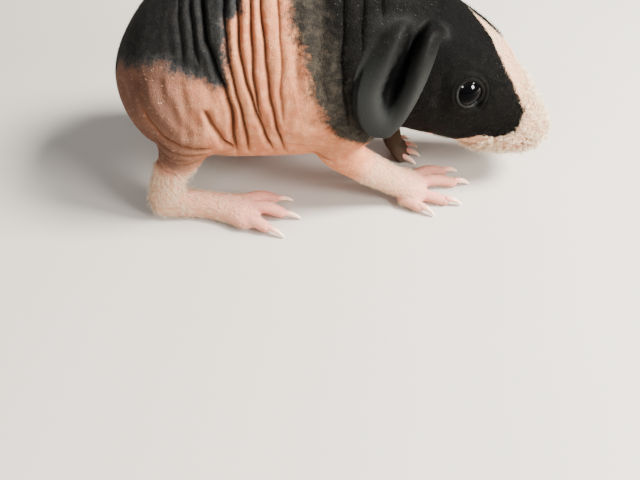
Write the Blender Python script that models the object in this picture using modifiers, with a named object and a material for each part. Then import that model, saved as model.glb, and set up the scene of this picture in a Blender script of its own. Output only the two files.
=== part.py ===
"""Skinny pig pup, a nearly hairless guinea pig, as a life-size still model.

It stands hunched on both hind feet and the right fore foot, with the left fore
paw on its toe tips, and lowers its muzzle to the floor. The body is modelled
whole, blended into one skin and then parted with thin cuts.

Frame: metres, +X the way it faces, +Y its left side, +Z up. The origin is on
the floor under the middle of its box. The sizes below are millimetres, and
each mesh is scaled to metres as it is made.
"""
import bmesh
import bpy
import math
import numpy as np
from mathutils import Matrix, Vector
from mathutils.bvhtree import BVHTree

MM = 0.001
GAP = 0.3
RIGHT, LEFT = -1, 1
SIDE_NAME = {RIGHT: "right", LEFT: "left"}

# Trunk: x, top, bottom, half width, height of the widest line
TRUNK = (
    (-71.5, 56.0, 25.0, 20.0, 39.0),
    (-64.0, 60.0, 21.0, 23.0, 38.0),
    (-56.5, 65.0, 19.0, 25.5, 37.0),
    (-41.5, 74.5, 16.5, 28.0, 37.0),
    (-21.5, 80.0, 16.0, 29.0, 38.5),
    (-1.5, 78.5, 17.5, 27.5, 40.0),
    (13.5, 74.0, 22.0, 23.0, 44.0),
    (24.0, 69.0, 26.0, 19.0, 46.0),
    (33.0, 63.0, 30.0, 14.0, 48.0),
)
TRUNK_ROUNDS = (15.0, 6.0)
TRUNK_RINGS, TRUNK_SIDES = 56, 48

# Head frame: centre between the eyes, muzzle pitched down
HEAD_CENTRE = (37.5, 0.0, 44.0)
HEAD_PITCH = math.radians(43.0)
# Head: distance along the muzzle, top, bottom, half width, height of the widest line
HEAD = (
    (-28.0, 9.0, -26.0, 18.0, -10.0),
    (-18.0, 11.0, -29.0, 20.6, -12.0),
    (-8.0, 12.6, -29.0, 20.8, -11.5),
    (0.0, 13.6, -26.5, 19.6, -9.0),
    (8.0, 13.2, -23.2, 17.6, -6.5),
    (18.0, 11.0, -19.2, 14.8, -5.0),
    (28.0, 8.3, -15.4, 12.2, -4.0),
    (36.0, 6.6, -9.8, 10.4, -1.6),
    (42.2, 5.4, -2.2, 8.6, 1.6),
)
HEAD_ROUNDS = (8.0, 6.0)
HEAD_RINGS, HEAD_SIDES = 44, 40
# Sections bulge past an oval: 2 is an oval, more is squarer
TRUNK_FULLNESS, HEAD_FULLNESS = 2.15, 2.45

EYE_CENTRE = (-0.1, 15.0, -0.55)
EYE_LOOK = (0.22, 0.95, 0.20)
EYE_RADIUS = 5.6
EYE_SEGMENTS = 18
# Lids: size of the ring round the eye, its thickness, and how far it stands over the centre
LID_HALF_LENGTH, LID_HALF_HEIGHT = 5.7, 5.1
LID_THICK = 0.95
LID_STAND = 3.2
LID_RINGS, LID_SIDES = 28, 8

# Limbs run through stations of x, distance out from the middle, height,
# half width across and half depth
THIGH = (
    (-52.0, 12.0, 56.0, 8.0, 10.0),
    (-47.5, 18.5, 44.0, 12.0, 17.0),
    (-46.5, 21.5, 35.5, 10.5, 16.8),
    (-48.9, 22.8, 28.5, 8.6, 8.8),
    (-50.6, 23.4, 24.2, 7.2, 6.9),
    (-53.8, 24.0, 19.2, 5.4, 5.3),
    (-56.2, 24.4, 12.0, 4.6, 5.2),
    (-58.2, 24.2, 6.0, 4.0, 4.4),
    (-57.6, 24.2, 1.4, 3.6, 3.8),
)
HIND_FOOT = (
    (-62.9, 23.8, 5.0, 3.9, 4.5),
    (-56.0, 24.0, 4.4, 4.3, 5.4),
    (-46.0, 24.4, 3.8, 4.2, 5.0),
    (-37.0, 25.6, 3.1, 5.4, 4.4),
    (-30.0, 26.8, 2.7, 7.4, 3.8),
    (-26.0, 27.4, 1.8, 6.2, 2.7),
)
HIND_TOES = (
    ((-34.0, 23.4, 3.4), (-26.5, 21.4, 4.4), (-20.6, 20.2, 2.0)),
    ((-34.0, 26.4, 3.6), (-24.5, 26.8, 4.7), (-17.8, 27.4, 2.0)),
    ((-34.0, 29.2, 2.8), (-28.0, 32.0, 3.5), (-22.6, 34.5, 1.8)),
)
HIND_TOE_RADIUS = 2.35
HIND_CLAW_LENGTH = 5.0

SHOULDER = (
    (7.0, 13.0, 55.0, 8.0, 9.0),
    (5.0, 19.0, 45.0, 9.0, 11.5),
    (1.5, 21.0, 35.0, 8.0, 10.5),
    (-1.0, 21.5, 27.0, 6.4, 7.5),
)
RIGHT_FOREARM = (
    (-6.5, 21.5, 30.0, 6.0, 6.0),
    (-0.5, 22.0, 25.0, 6.0, 6.2),
    (6.0, 20.6, 18.6, 5.4, 5.6),
    (12.5, 18.6, 12.6, 4.9, 5.0),
    (19.0, 17.0, 7.6, 5.2, 4.5),
    (25.5, 15.3, 3.6, 7.0, 3.9),
    (30.0, 14.6, 2.4, 6.0, 2.8),
)
RIGHT_TOES = (
    ((23.0, 11.6, 3.2), (31.6, 7.4, 3.8), (38.4, 5.4, 1.3)),
    ((24.0, 14.2, 3.0), (34.0, 11.8, 3.3), (41.6, 11.1, 1.1)),
    ((23.0, 17.6, 2.6), (31.0, 19.4, 2.7), (37.6, 20.6, 1.0)),
    ((20.0, 19.8, 2.6), (25.0, 22.6, 2.4), (28.4, 24.6, 1.0)),
)
LEFT_FOREARM = (
    (-6.0, 21.5, 31.0, 6.0, 6.2),
    (1.0, 20.0, 26.5, 5.8, 6.4),
    (8.0, 15.5, 22.5, 5.0, 5.4),
    (14.0, 11.0, 17.5, 4.3, 4.5),
    (18.0, 8.6, 11.5, 4.4, 3.9),
    (19.8, 7.2, 6.0, 4.8, 3.2),
    (20.8, 6.6, 2.2, 4.2, 2.4),
)
LEFT_TOES = (
    ((19.6, 4.0, 5.6), (21.8, 2.3, 2.8), (24.2, 1.3, 0.3)),
    ((20.2, 6.0, 5.6), (23.0, 5.2, 3.0), (26.0, 4.7, 0.3)),
    ((20.0, 8.2, 5.6), (22.8, 8.5, 3.0), (25.6, 8.8, 0.3)),
    ((19.2, 10.0, 5.2), (21.2, 11.4, 2.6), (23.2, 12.4, 0.3)),
)
FORE_TOE_RADIUS = 2.15
FORE_CLAW_LENGTH = 4.2

# Toe: thickness at its root, knuckle and tip as shares of its radius
TOE_SHARES = (1.0, 0.92, 0.78)
TOE_SIDES, TOE_STEP = 12, 1.0

CLAW_HALF_WIDTH, CLAW_HALF_DEPTH = 0.85, 1.0
# Claw: heights of its root, middle and tip, and how far its root lies back in the toe
CLAW_HEIGHTS = (2.7, 2.2, 0.6)
CLAW_INSET = 1.8
# Claw: where its middle lies along it, and the thickness left there and at its tip
CLAW_MIDDLE, CLAW_MIDDLE_SHARE, CLAW_TIP_SHARE = 0.42, 0.82, 0.34
CLAW_SIDES, CLAW_STEP = 6, 0.9

# Ear: root, bend and tip of the drooping flap, its half width, dome, front lobe and cup
EAR_ROOT = (21.6, 9.5, 63.4)
EAR_BEND = (17.0, 28.0, 66.5)
EAR_TIP = (13.5, 29.8, 36.5)
EAR_HALF_WIDTH = 13.2
EAR_ROOT_HALF_WIDTH = 9.6
EAR_WIDEST = 0.58
EAR_THICK = 1.2
EAR_DOME = 2.4
# Across the ear runs from -1 at the rear margin to 1 at the front, down from 0 to 1 at the tip
EAR_DOME_START, EAR_DOME_SPAN = 0.15, 0.75
EAR_LOBE, EAR_LOBE_PLACE, EAR_LOBE_WIDTH = 1.2, 0.62, 0.26
EAR_CUP_DEPTH = 3.8
# The cup is a wedge: its place across and its half width at the root and at the cup's end
EAR_CUP_ROOT, EAR_CUP_ROOT_WIDTH = 0.22, 0.13
EAR_CUP_LOW, EAR_CUP_LOW_WIDTH = 0.04, 0.27
EAR_CUP_END, EAR_CUP_FADE = 0.62, 0.16
# Front half of the ear: its width at the root and at the tip, as shares of the rear half
EAR_FRONT_SHARE, EAR_FRONT_TIP_SHARE = 0.84, 0.62
EAR_CORNER, EAR_CORNER_SHARE = 0.14, 0.75
EAR_FORWARD = (0.95, -0.16, 0.26)
EAR_ROOT_FORWARD = (0.92, -0.10, -0.42)
EAR_TURNED_BY = 0.42
EAR_ROWS, EAR_COLUMNS = 11, 13
EAR_RIM = 0.45
EAR_ROOT_THICKER = 0.8
EAR_LEAST_WIDTH = 0.02

# Deep folds of the flank: x on the back, lean, lowest and highest height, depth
FOLD_BACK_HEIGHT = 73.0
FOLDS = (
    (-42.3, -0.30, 62.0, 84.0, 0.7),
    (-38.3, -0.16, 29.0, 84.0, 1.8),
    (-32.9, -0.12, 25.0, 84.0, 1.3),
    (-29.1, -0.14, 25.0, 84.0, 1.4),
    (-25.7, -0.07, 42.0, 84.0, 1.2),
    (-22.3, -0.07, 26.0, 84.0, 1.2),
    (-17.6, -0.07, 46.0, 76.0, 0.5),
)
FOLD_HALF_WIDTH = 0.85
FOLD_FADE = 5.0
# The folds are shallow along the spine and full this far out from it
FOLD_SPINE_SHARE, FOLD_FULL_AT = 0.45, 14.0

# Mouth, split of the upper lip and nostril: places along the muzzle, out and up
MOUTH = (
    (41.0, -0.6, -3.2),
    (39.4, 4.5, -2.3),
    (35.2, 8.6, -2.6),
    (30.2, 11.0, -4.2),
    (24.5, 12.2, -6.4),
)
MOUTH_RADIUS, MOUTH_SINK = 0.7, 0.15
GROOVE_SIDES, GROOVE_STEP = 5, 1.8
GROOVE_SAMPLES = 5
LIP_SPLIT = ((42.8, 0.0, 2.6), (42.2, 0.0, 0.0), (41.0, 0.0, -3.2))
LIP_RADIUS, LIP_SINK = 0.5, 0.0
NOSTRIL = ((41.6, 2.6, 2.4), (41.0, 4.2, 3.2), (39.4, 5.6, 4.4))
NOSTRIL_RADIUS = 0.9

# Cuts that part the whole: a box is its centre, its size and its turn about Y
HIND_FOOT_ZONE = ((-42.0, 28.0, -7.0), (74.0, 38.0, 40.0), 0.2)
FORE_FOOT_ZONE = {
    RIGHT: ((32.6, 19.0, 1.0), (32.0, 34.0, 22.0), 0.45),
    LEFT: ((22.0, 7.0, 3.0), (30.0, 17.0, 22.0), 0.0),
}
HEAD_ZONE = ((105.0, 0.0, 75.0), (180.0, 160.0, 260.0), -0.3)
NECK_ZONE = ((92.0, 0.0, 75.0), (180.0, 160.0, 260.0), -0.3)
# Zones round the legs: x, distance out, height, half width across, half depth
ZONE_SIDES, ZONE_STEP = 16, 5.0
THIGH_ZONE = (
    (-50.0, 21.0, 62.0, 7.0, 7.0),
    (-46.0, 26.0, 48.0, 13.0, 19.0),
    (-44.5, 28.0, 34.0, 14.0, 21.0),
    (-48.0, 28.0, 20.0, 14.0, 19.0),
    (-54.0, 28.0, 6.0, 13.0, 17.0),
    (-56.0, 28.0, -4.0, 9.0, 12.0),
)
RIGHT_ARM_ZONE = (
    (6.0, 20.0, 58.0, 6.0, 7.0),
    (4.5, 25.0, 46.0, 10.0, 12.5),
    (0.0, 25.0, 33.0, 10.5, 13.0),
    (1.0, 24.0, 24.0, 10.5, 12.0),
    (8.0, 20.0, 15.0, 9.0, 11.0),
    (18.0, 17.0, 6.0, 9.0, 11.0),
    (30.0, 15.0, -6.0, 9.0, 11.0),
)
LEFT_ARM_ZONE = (
    (6.0, 20.0, 58.0, 6.0, 7.0),
    (4.5, 25.0, 46.0, 10.0, 12.5),
    (0.0, 24.5, 33.0, 10.5, 12.5),
    (3.0, 20.0, 24.5, 10.5, 9.5),
    (12.0, 13.0, 17.0, 8.5, 8.5),
    (18.0, 9.0, 9.0, 9.0, 9.0),
    (21.0, 7.0, -4.0, 9.0, 9.0),
)
ARM_ZONE = {RIGHT: RIGHT_ARM_ZONE, LEFT: LEFT_ARM_ZONE}

# Finish of each part: base colour and roughness
FINISHES = {
    "torso": ((0.60, 0.36, 0.24), 0.55),
    "neck": ((0.07, 0.06, 0.06), 0.5),
    "head": ((0.05, 0.045, 0.04), 0.55),
    "ear": ((0.06, 0.06, 0.06), 0.4),
    "eye": ((0.01, 0.01, 0.012), 0.05),
    "hindleg": ((0.62, 0.38, 0.26), 0.55),
    "foreleg": ((0.62, 0.38, 0.26), 0.55),
    "hindfoot": ((0.78, 0.55, 0.48), 0.6),
    "forefoot": ((0.78, 0.55, 0.48), 0.6),
    "claw": ((0.80, 0.60, 0.48), 0.35),
}

VOXEL = 0.62
BLEND_STEPS = 5
BODY_BLEND_STEPS = 60
# The trunk's extra smoothing begins at this height and fades out towards the head
BLEND_FLOOR, BLEND_RISE = 20.0, 8.0
BLEND_FRONT, BLEND_FRONT_FADE = 30.0, 14.0
BLEND_LEVELS = 10
FLESH_TRIANGLES = 7200
SHARP_ANGLE = math.radians(40)
# Edges and faces thinner than this are cleared from the ears and claws once they are cut
SLIVER = 0.01


def clear_scene():
    """Empty the file of the objects, meshes and collections that it opens with."""
    for obj in list(bpy.data.objects):
        bpy.data.objects.remove(obj, do_unlink=True)
    for collection in list(bpy.data.collections):
        bpy.data.collections.remove(collection)


def collection_named(name):
    """Return a new collection that is linked to the scene."""
    collection = bpy.data.collections.new(name)
    bpy.context.scene.collection.children.link(collection)
    return collection


def material(name, colour, roughness):
    """Return a Principled material of one colour."""
    finish = bpy.data.materials.new(name)
    finish.use_nodes = True
    shader = finish.node_tree.nodes["Principled BSDF"]
    shader.inputs["Base Color"].default_value = (*colour, 1.0)
    shader.inputs["Roughness"].default_value = roughness
    shader.inputs["Metallic"].default_value = 0.0
    finish.diffuse_color = (*colour, 1.0)
    return finish


def solid(name, points, faces, collection):
    """Make a mesh object from points in millimetres."""
    mesh = bpy.data.meshes.new(name)
    mesh.from_pydata((np.asarray(points) * MM).tolist(), [], faces)
    obj = bpy.data.objects.new(name, mesh)
    collection.objects.link(obj)
    work = bmesh.new()
    work.from_mesh(mesh)
    bmesh.ops.recalc_face_normals(work, faces=work.faces)
    work.to_mesh(mesh)
    work.free()
    return obj


def smooth_curve(knots, values, at):
    """Read a smooth curve through values at the knots, with slopes from their neighbours."""
    values = np.asarray(values, float)
    knots = np.asarray(knots, float)
    slope = np.gradient(values, knots, axis=0)
    index = np.clip(np.searchsorted(knots, at, side="right") - 1, 0, len(knots) - 2)
    width = knots[index + 1] - knots[index]
    t = (at - knots[index]) / width
    if values.ndim > 1:
        t, width = t[:, None], width[:, None]
    start, end = values[index], values[index + 1]
    bend_start, bend_end = slope[index] * width, slope[index + 1] * width
    return (
        (2 * t**3 - 3 * t**2 + 1) * start
        + (t**3 - 2 * t**2 + t) * bend_start
        + (3 * t**2 - 2 * t**3) * end
        + (t**3 - t**2) * bend_end
    )


def ease(value, low, high):
    """Rise smoothly from 0 at low to 1 at high."""
    t = np.clip((value - low) / (high - low), 0.0, 1.0)
    return t * t * (3 - 2 * t)


def end_rounding(distance, length, rear_round, front_round):
    """Return the share of the full section at each distance, round at both ends."""
    rear = np.clip(distance / rear_round, 0.0, 1.0)
    front = np.clip((length - distance) / front_round, 0.0, 1.0)
    return np.sqrt(1 - (1 - rear) ** 2) * np.sqrt(1 - (1 - front) ** 2)


def closed_loft(rings):
    """Return points and faces of rings of points, closed by a pole at each end."""
    count, sides = rings.shape[0], rings.shape[1]
    poles = np.array([rings[0].mean(axis=0), rings[-1].mean(axis=0)])
    points = np.vstack([rings[1:-1].reshape(-1, 3), poles])
    body = count - 2
    first, last = body * sides, body * sides + 1
    faces = []
    for ring in range(body - 1):
        for side in range(sides):
            near, far = ring * sides + side, ring * sides + (side + 1) % sides
            faces.append((near, far, far + sides, near + sides))
    for side in range(sides):
        after = (side + 1) % sides
        faces.append((first, after, side))
        end = (body - 1) * sides
        faces.append((last, end + side, end + after))
    return points, faces


def hull(name, stations, rings, sides, rounds, fullness, frame, collection):
    """Loft upright sections along an axis. Each has its own top, bottom and width."""
    table = np.asarray(stations, float)
    start, end = table[0, 0], table[-1, 0]
    even = (1 - np.cos(np.linspace(0, math.pi, rings))) / 2
    along = start + (end - start) * (0.5 * even + 0.5 * np.linspace(0, 1, rings))
    top, bottom, half, middle = smooth_curve(table[:, 0], table[:, 1:], along).T
    share = end_rounding(along - start, end - start, *rounds)
    angle = np.linspace(0, 2 * math.pi, sides, endpoint=False)
    across = np.sign(np.cos(angle)) * np.abs(np.cos(angle)) ** (2 / fullness)
    rise = np.sign(np.sin(angle)) * np.abs(np.sin(angle)) ** (2 / fullness)
    reach = np.where(rise[None, :] > 0, (top - middle)[:, None], (middle - bottom)[:, None])
    points = np.stack(
        [
            np.repeat(along[:, None], sides, axis=1),
            across[None, :] * (half * share)[:, None],
            middle[:, None] + rise[None, :] * reach * share[:, None],
        ],
        axis=2,
    )
    points = points @ np.asarray(frame[0]).T + np.asarray(frame[1])
    return solid(name, *closed_loft(points), collection)


def limb(name, stations, side, collection, sides=20, step=1.6):
    """Sweep an oval along a bent path, with round ends, on the side that side gives."""
    table = np.asarray(stations, float)
    table[:, 1] *= side
    lengths = np.linalg.norm(np.diff(table[:, :3], axis=0), axis=1)
    knots = np.concatenate([[0.0], np.cumsum(lengths)])
    rings = max(int(knots[-1] / step), 8)
    ramp = np.linspace(0, 1, rings)
    at = knots[-1] * (ramp + (1 - np.cos(math.pi * ramp)) / 2) / 2
    line = smooth_curve(knots, table, at)
    centre, half, deep = line[:, :3], line[:, 3], line[:, 4]
    heading = np.gradient(centre, at, axis=0)
    heading /= np.linalg.norm(heading, axis=1)[:, None]
    out = np.array([0.0, 1.0, 0.0]) - heading * heading[:, 1:2]
    out /= np.linalg.norm(out, axis=1)[:, None]
    up = np.cross(heading, out)
    share = end_rounding(at, knots[-1], min(half[0], deep[0]), min(half[-1], deep[-1]))
    angle = np.linspace(0, 2 * math.pi, sides, endpoint=False)
    points = (
        centre[:, None, :]
        + out[:, None, :] * (np.cos(angle)[None, :] * (half * share)[:, None])[:, :, None]
        + up[:, None, :] * (np.sin(angle)[None, :] * (deep * share)[:, None])[:, :, None]
    )
    return solid(name, *closed_loft(points), collection)


def sphere(name, centre, radius, segments, collection):
    """Return a ball of quads and poles at a place in millimetres."""
    mesh = bpy.data.meshes.new(name)
    work = bmesh.new()
    bmesh.ops.create_uvsphere(
        work, u_segments=segments, v_segments=segments // 2, radius=radius * MM
    )
    bmesh.ops.translate(work, verts=work.verts, vec=Vector(centre) * MM)
    work.to_mesh(mesh)
    work.free()
    obj = bpy.data.objects.new(name, mesh)
    collection.objects.link(obj)
    return obj


def box(name, centre, size, turn_y, collection):
    """Return a box cutter, turned about Y, at a place in millimetres."""
    mesh = bpy.data.meshes.new(name)
    work = bmesh.new()
    bmesh.ops.create_cube(work, size=1.0)
    place = (
        Matrix.Translation(Vector(centre) * MM)
        @ Matrix.Rotation(turn_y, 4, "Y")
        @ Matrix.Diagonal((*(Vector(size) * MM), 1.0))
    )
    bmesh.ops.transform(work, matrix=place, verts=work.verts)
    work.to_mesh(mesh)
    work.free()
    obj = bpy.data.objects.new(name, mesh)
    collection.objects.link(obj)
    return obj


def apply_modifiers(obj):
    """Give the object the mesh that its modifiers make, and drop them."""
    depsgraph = bpy.context.evaluated_depsgraph_get()
    made = bpy.data.meshes.new_from_object(obj.evaluated_get(depsgraph))
    old = obj.data
    obj.modifiers.clear()
    obj.data = made
    bpy.data.meshes.remove(old)


def discard(*objects):
    """Remove objects that were only needed on the way."""
    for obj in objects:
        bpy.data.objects.remove(obj, do_unlink=True)


def keep_largest(obj):
    """Keep only the largest closed surface, by triangle area."""
    work = bmesh.new()
    work.from_mesh(obj.data)
    unseen = set(work.faces)
    shells = []
    while unseen:
        stack = [unseen.pop()]
        shell = list(stack)
        while stack:
            for edge in stack.pop().edges:
                for face in edge.link_faces:
                    if face in unseen:
                        unseen.remove(face)
                        stack.append(face)
                        shell.append(face)
        shells.append(shell)
    shells.sort(key=lambda shell: sum(face.calc_area() for face in shell))
    scraps = [face for shell in shells[:-1] for face in shell]
    bmesh.ops.delete(work, geom=scraps, context="FACES")
    loose = [vertex for vertex in work.verts if not vertex.link_faces]
    bmesh.ops.delete(work, geom=loose, context="VERTS")
    work.to_mesh(obj.data)
    work.free()


def boolean(obj, operation, *others):
    """Cut, cross or join the object with others, which are removed."""
    for other in others:
        step = obj.modifiers.new("Cut", "BOOLEAN")
        step.operation = operation
        step.object = other
        step.solver = "MANIFOLD"
        apply_modifiers(obj)
    discard(*others)
    return obj


def unite(name, pieces, collection):
    """Join closed pieces into one body by one union on a collection."""
    body, *rest = pieces
    body.name = name
    group = collection_named(name + "_pieces")
    for piece in rest:
        group.objects.link(piece)
    step = body.modifiers.new("Union", "BOOLEAN")
    step.operation = "UNION"
    step.operand_type = "COLLECTION"
    step.collection = group
    step.solver = "EXACT"
    apply_modifiers(body)
    discard(*rest)
    bpy.data.collections.remove(group)
    keep_largest(body)
    return body


def copy_of(obj, name, collection):
    """Return a copy with a mesh of its own."""
    twin = bpy.data.objects.new(name, obj.data.copy())
    collection.objects.link(twin)
    return twin


def grown(obj, name, by, collection):
    """Return a copy swollen along its normals."""
    twin = copy_of(obj, name, collection)
    mesh = twin.data
    place = np.empty(len(mesh.vertices) * 3)
    normal = np.empty(len(mesh.vertices) * 3)
    mesh.vertices.foreach_get("co", place)
    mesh.vertices.foreach_get("normal", normal)
    mesh.vertices.foreach_set("co", place + normal * by * MM)
    mesh.update()
    return twin


def head_frame():
    """Return the matrix and the origin that carry head sizes into the body's frame."""
    lean, drop = math.cos(HEAD_PITCH), math.sin(HEAD_PITCH)
    matrix = np.array([[lean, 0.0, drop], [0.0, 1.0, 0.0], [-drop, 0.0, lean]])
    return matrix, np.array(HEAD_CENTRE)


def in_head(point, side=LEFT):
    """Return the body place of a point given along the muzzle, out and up."""
    matrix, origin = head_frame()
    return matrix @ (np.asarray(point, float) * (1, side, 1)) + origin


def eye_axes(side):
    """Return where the eyeball sits and its look, forward and upward directions."""
    matrix = head_frame()[0]
    look = matrix @ (np.array(EYE_LOOK) * (1, side, 1))
    look /= np.linalg.norm(look)
    forward = matrix @ np.array([1.0, 0.0, -0.12])
    forward -= look * (forward @ look)
    forward /= np.linalg.norm(forward)
    return in_head(EYE_CENTRE, side), look, forward, np.cross(forward, look) * side


def eyelids(side, collection):
    """Make the raised rim of both lids, an oval ring round the eye."""
    centre, look, forward, upward = eye_axes(side)
    around = np.linspace(0, 2 * math.pi, LID_RINGS, endpoint=False)
    tube = np.linspace(0, 2 * math.pi, LID_SIDES, endpoint=False)
    out_x = np.cos(around)[:, None] * (LID_HALF_LENGTH + LID_THICK * np.cos(tube))
    out_y = np.sin(around)[:, None] * (LID_HALF_HEIGHT + LID_THICK * np.cos(tube))
    lift = np.broadcast_to(LID_STAND + LID_THICK * np.sin(tube), out_x.shape)
    points = (
        centre
        + out_x[:, :, None] * forward
        + out_y[:, :, None] * upward
        + lift[:, :, None] * look
    ).reshape(-1, 3)
    rows, columns = len(around), len(tube)
    faces = [
        (
            row * columns + column,
            ((row + 1) % rows) * columns + column,
            ((row + 1) % rows) * columns + (column + 1) % columns,
            row * columns + (column + 1) % columns,
        )
        for row in range(rows)
        for column in range(columns)
    ]
    return solid("lids", points, faces, collection)


def toe_stations(joints, radius):
    """Return the stations of one toe, thinner at its knuckle and tip."""
    return tuple(
        (*place, radius * share, radius * share) for place, share in zip(joints, TOE_SHARES)
    )


def claw_stations(joints, length):
    """Return the stations of one claw, which leaves the toe's tip and dips to the floor."""
    knuckle, tip = np.array(joints[1], float), np.array(joints[2], float)
    heading = tip - knuckle
    heading[2] = 0.0
    heading /= np.linalg.norm(heading)
    root = tip - heading * CLAW_INSET
    middle = tip + heading * length * CLAW_MIDDLE
    end = tip + heading * length
    root[2], middle[2], end[2] = CLAW_HEIGHTS
    wide, deep = CLAW_HALF_WIDTH, CLAW_HALF_DEPTH
    return (
        (*root, wide, deep),
        (*middle, wide * CLAW_MIDDLE_SHARE, deep * CLAW_MIDDLE_SHARE),
        (*end, wide * CLAW_TIP_SHARE, deep * CLAW_TIP_SHARE),
    )


def ear(side, collection):
    """Make one drooping ear: a petal with thick, rolled margins round a deep cup."""
    across = np.sin(np.linspace(-0.5, 0.5, EAR_COLUMNS) * math.pi)
    down = np.sin(np.linspace(0, 0.5, EAR_ROWS) * math.pi)
    root, bend, tip = (np.array(point, float) for point in (EAR_ROOT, EAR_BEND, EAR_TIP))
    line = (
        ((1 - down) ** 2)[:, None] * root
        + (2 * down * (1 - down))[:, None] * bend
        + (down**2)[:, None] * tip
    )
    widening = EAR_ROOT_HALF_WIDTH + (EAR_HALF_WIDTH - EAR_ROOT_HALF_WIDTH) * np.sin(
        math.pi * np.clip(down, 0, EAR_WIDEST) / (2 * EAR_WIDEST)
    )
    closing = np.clip((down - EAR_WIDEST) / (1 - EAR_WIDEST), 0, 1)
    half = widening * np.sqrt(np.clip(1 - closing**2, EAR_LEAST_WIDTH, 1))
    front = EAR_FRONT_SHARE + (EAR_FRONT_TIP_SHARE - EAR_FRONT_SHARE) * ease(down, 0.0, 1.0)
    front *= EAR_CORNER_SHARE + (1 - EAR_CORNER_SHARE) * ease(down, 0.0, EAR_CORNER)
    reach = half[:, None] * np.where(across > 0, across * front[:, None], across)
    turned = ease(down, 0.0, EAR_TURNED_BY)[:, None]
    forward = np.array(EAR_ROOT_FORWARD) * (1 - turned) + np.array(EAR_FORWARD) * turned
    forward /= np.linalg.norm(forward, axis=1)[:, None]
    heading = np.gradient(line, axis=0)
    heading /= np.linalg.norm(heading, axis=1)[:, None]
    face = np.cross(heading, forward)
    face /= np.linalg.norm(face, axis=1)[:, None]
    face *= np.sign(face[:, 1:2])
    arch = np.sin(math.pi * (EAR_DOME_START + EAR_DOME_SPAN * down))
    dome = EAR_DOME * np.outer(arch, 1 - across**2)
    fade = 1 - np.clip((down - EAR_CUP_END) / EAR_CUP_FADE, 0, 1) ** 2
    lower = np.clip(down / EAR_CUP_END, 0, 1)[:, None]
    cup_place = EAR_CUP_ROOT + (EAR_CUP_LOW - EAR_CUP_ROOT) * lower
    cup_width = EAR_CUP_ROOT_WIDTH + (EAR_CUP_LOW_WIDTH - EAR_CUP_ROOT_WIDTH) * lower
    cup = EAR_CUP_DEPTH * np.exp(-(((across - cup_place) / cup_width) ** 2))
    lobe = EAR_LOBE * np.exp(-(((across - EAR_LOBE_PLACE) / EAR_LOBE_WIDTH) ** 2))
    height = dome + (lobe[None, :] - cup) * fade[:, None]
    outer = (
        line[:, None, :]
        + forward[:, None, :] * reach[:, :, None]
        + face[:, None, :] * height[:, :, None]
    )
    round_off = EAR_RIM + (1 - EAR_RIM) * np.sqrt(1 - across**2)
    thick = EAR_THICK * np.outer(1.0 + EAR_ROOT_THICKER * (1 - down) ** 2, round_off)
    inner = outer - face[:, None, :] * thick[:, :, None]
    outer[:, :, 1] *= side
    inner[:, :, 1] *= side
    rows, columns = EAR_ROWS, EAR_COLUMNS
    points = np.vstack([outer.reshape(-1, 3), inner.reshape(-1, 3)])
    back = rows * columns
    faces = []
    for row in range(rows - 1):
        for column in range(columns - 1):
            a, b = row * columns + column, row * columns + column + 1
            c, d = b + columns, a + columns
            faces += [(a, b, c), (a, c, d), (back + a, back + c, back + b)]
            faces += [(back + a, back + d, back + c)]
    rim = list(range(columns))
    rim += [row * columns + columns - 1 for row in range(1, rows)]
    rim += [(rows - 1) * columns + column for column in range(columns - 2, -1, -1)]
    rim += [row * columns for row in range(rows - 2, 0, -1)]
    for here, there in zip(rim, rim[1:] + rim[:1]):
        faces += [(here, there, back + there), (here, back + there, back + here)]
    return solid("ear_" + SIDE_NAME[side], points, faces, collection)


def press_folds(obj):
    """Sink the deep folds of the flank into the skin, in rings that lean forward low down."""
    mesh = obj.data
    count = len(mesh.vertices)
    place, normal = np.empty(count * 3), np.empty(count * 3)
    mesh.vertices.foreach_get("co", place)
    mesh.vertices.foreach_get("normal", normal)
    place, normal = place.reshape(-1, 3) / MM, normal.reshape(-1, 3)
    x, y, z = place.T
    depth = np.zeros(count)
    for back_x, lean, low, high, deep in FOLDS:
        line = back_x - lean * (FOLD_BACK_HEIGHT - z)
        fade = np.clip((z - low) / FOLD_FADE, 0, 1) * np.clip((high - z) / FOLD_FADE, 0, 1)
        out = np.clip(np.abs(y) / FOLD_FULL_AT, 0, 1)
        fade *= FOLD_SPINE_SHARE + (1 - FOLD_SPINE_SHARE) * out
        depth += deep * fade * np.exp(-(((x - line) / FOLD_HALF_WIDTH) ** 2))
    place -= normal * depth[:, None]
    mesh.vertices.foreach_set("co", (place * MM).ravel())
    mesh.update()


def blend_skin(obj):
    """Melt the joined pieces into one skin, press the folds in and thin the mesh."""
    remesh = obj.modifiers.new("Skin", "REMESH")
    remesh.mode = "VOXEL"
    remesh.voxel_size = VOXEL * MM
    apply_modifiers(obj)
    mesh = obj.data
    count = len(mesh.vertices)
    place = np.empty(count * 3)
    mesh.vertices.foreach_get("co", place)
    x, y, z = place.reshape(-1, 3).T / MM
    above = np.clip((z - BLEND_FLOOR) / BLEND_RISE, 0, 1)
    behind = np.clip((BLEND_FRONT - x) / BLEND_FRONT_FADE, 0, 1)
    group = obj.vertex_groups.new(name="trunk")
    levels = np.round(above * behind * BLEND_LEVELS).astype(int)
    for level in range(1, BLEND_LEVELS + 1):
        group.add(np.flatnonzero(levels == level).tolist(), level / BLEND_LEVELS, "REPLACE")
    for steps, name in ((BLEND_STEPS, ""), (BODY_BLEND_STEPS, "trunk")):
        smooth = obj.modifiers.new("Blend", "SMOOTH")
        smooth.factor = 0.5
        smooth.iterations = steps
        smooth.vertex_group = name
    apply_modifiers(obj)
    obj.vertex_groups.clear()
    press_folds(obj)
    thin = obj.modifiers.new("Thin", "DECIMATE")
    thin.ratio = FLESH_TRIANGLES / (2 * len(obj.data.polygons))
    thin.use_collapse_triangulate = True
    apply_modifiers(obj)


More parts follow.
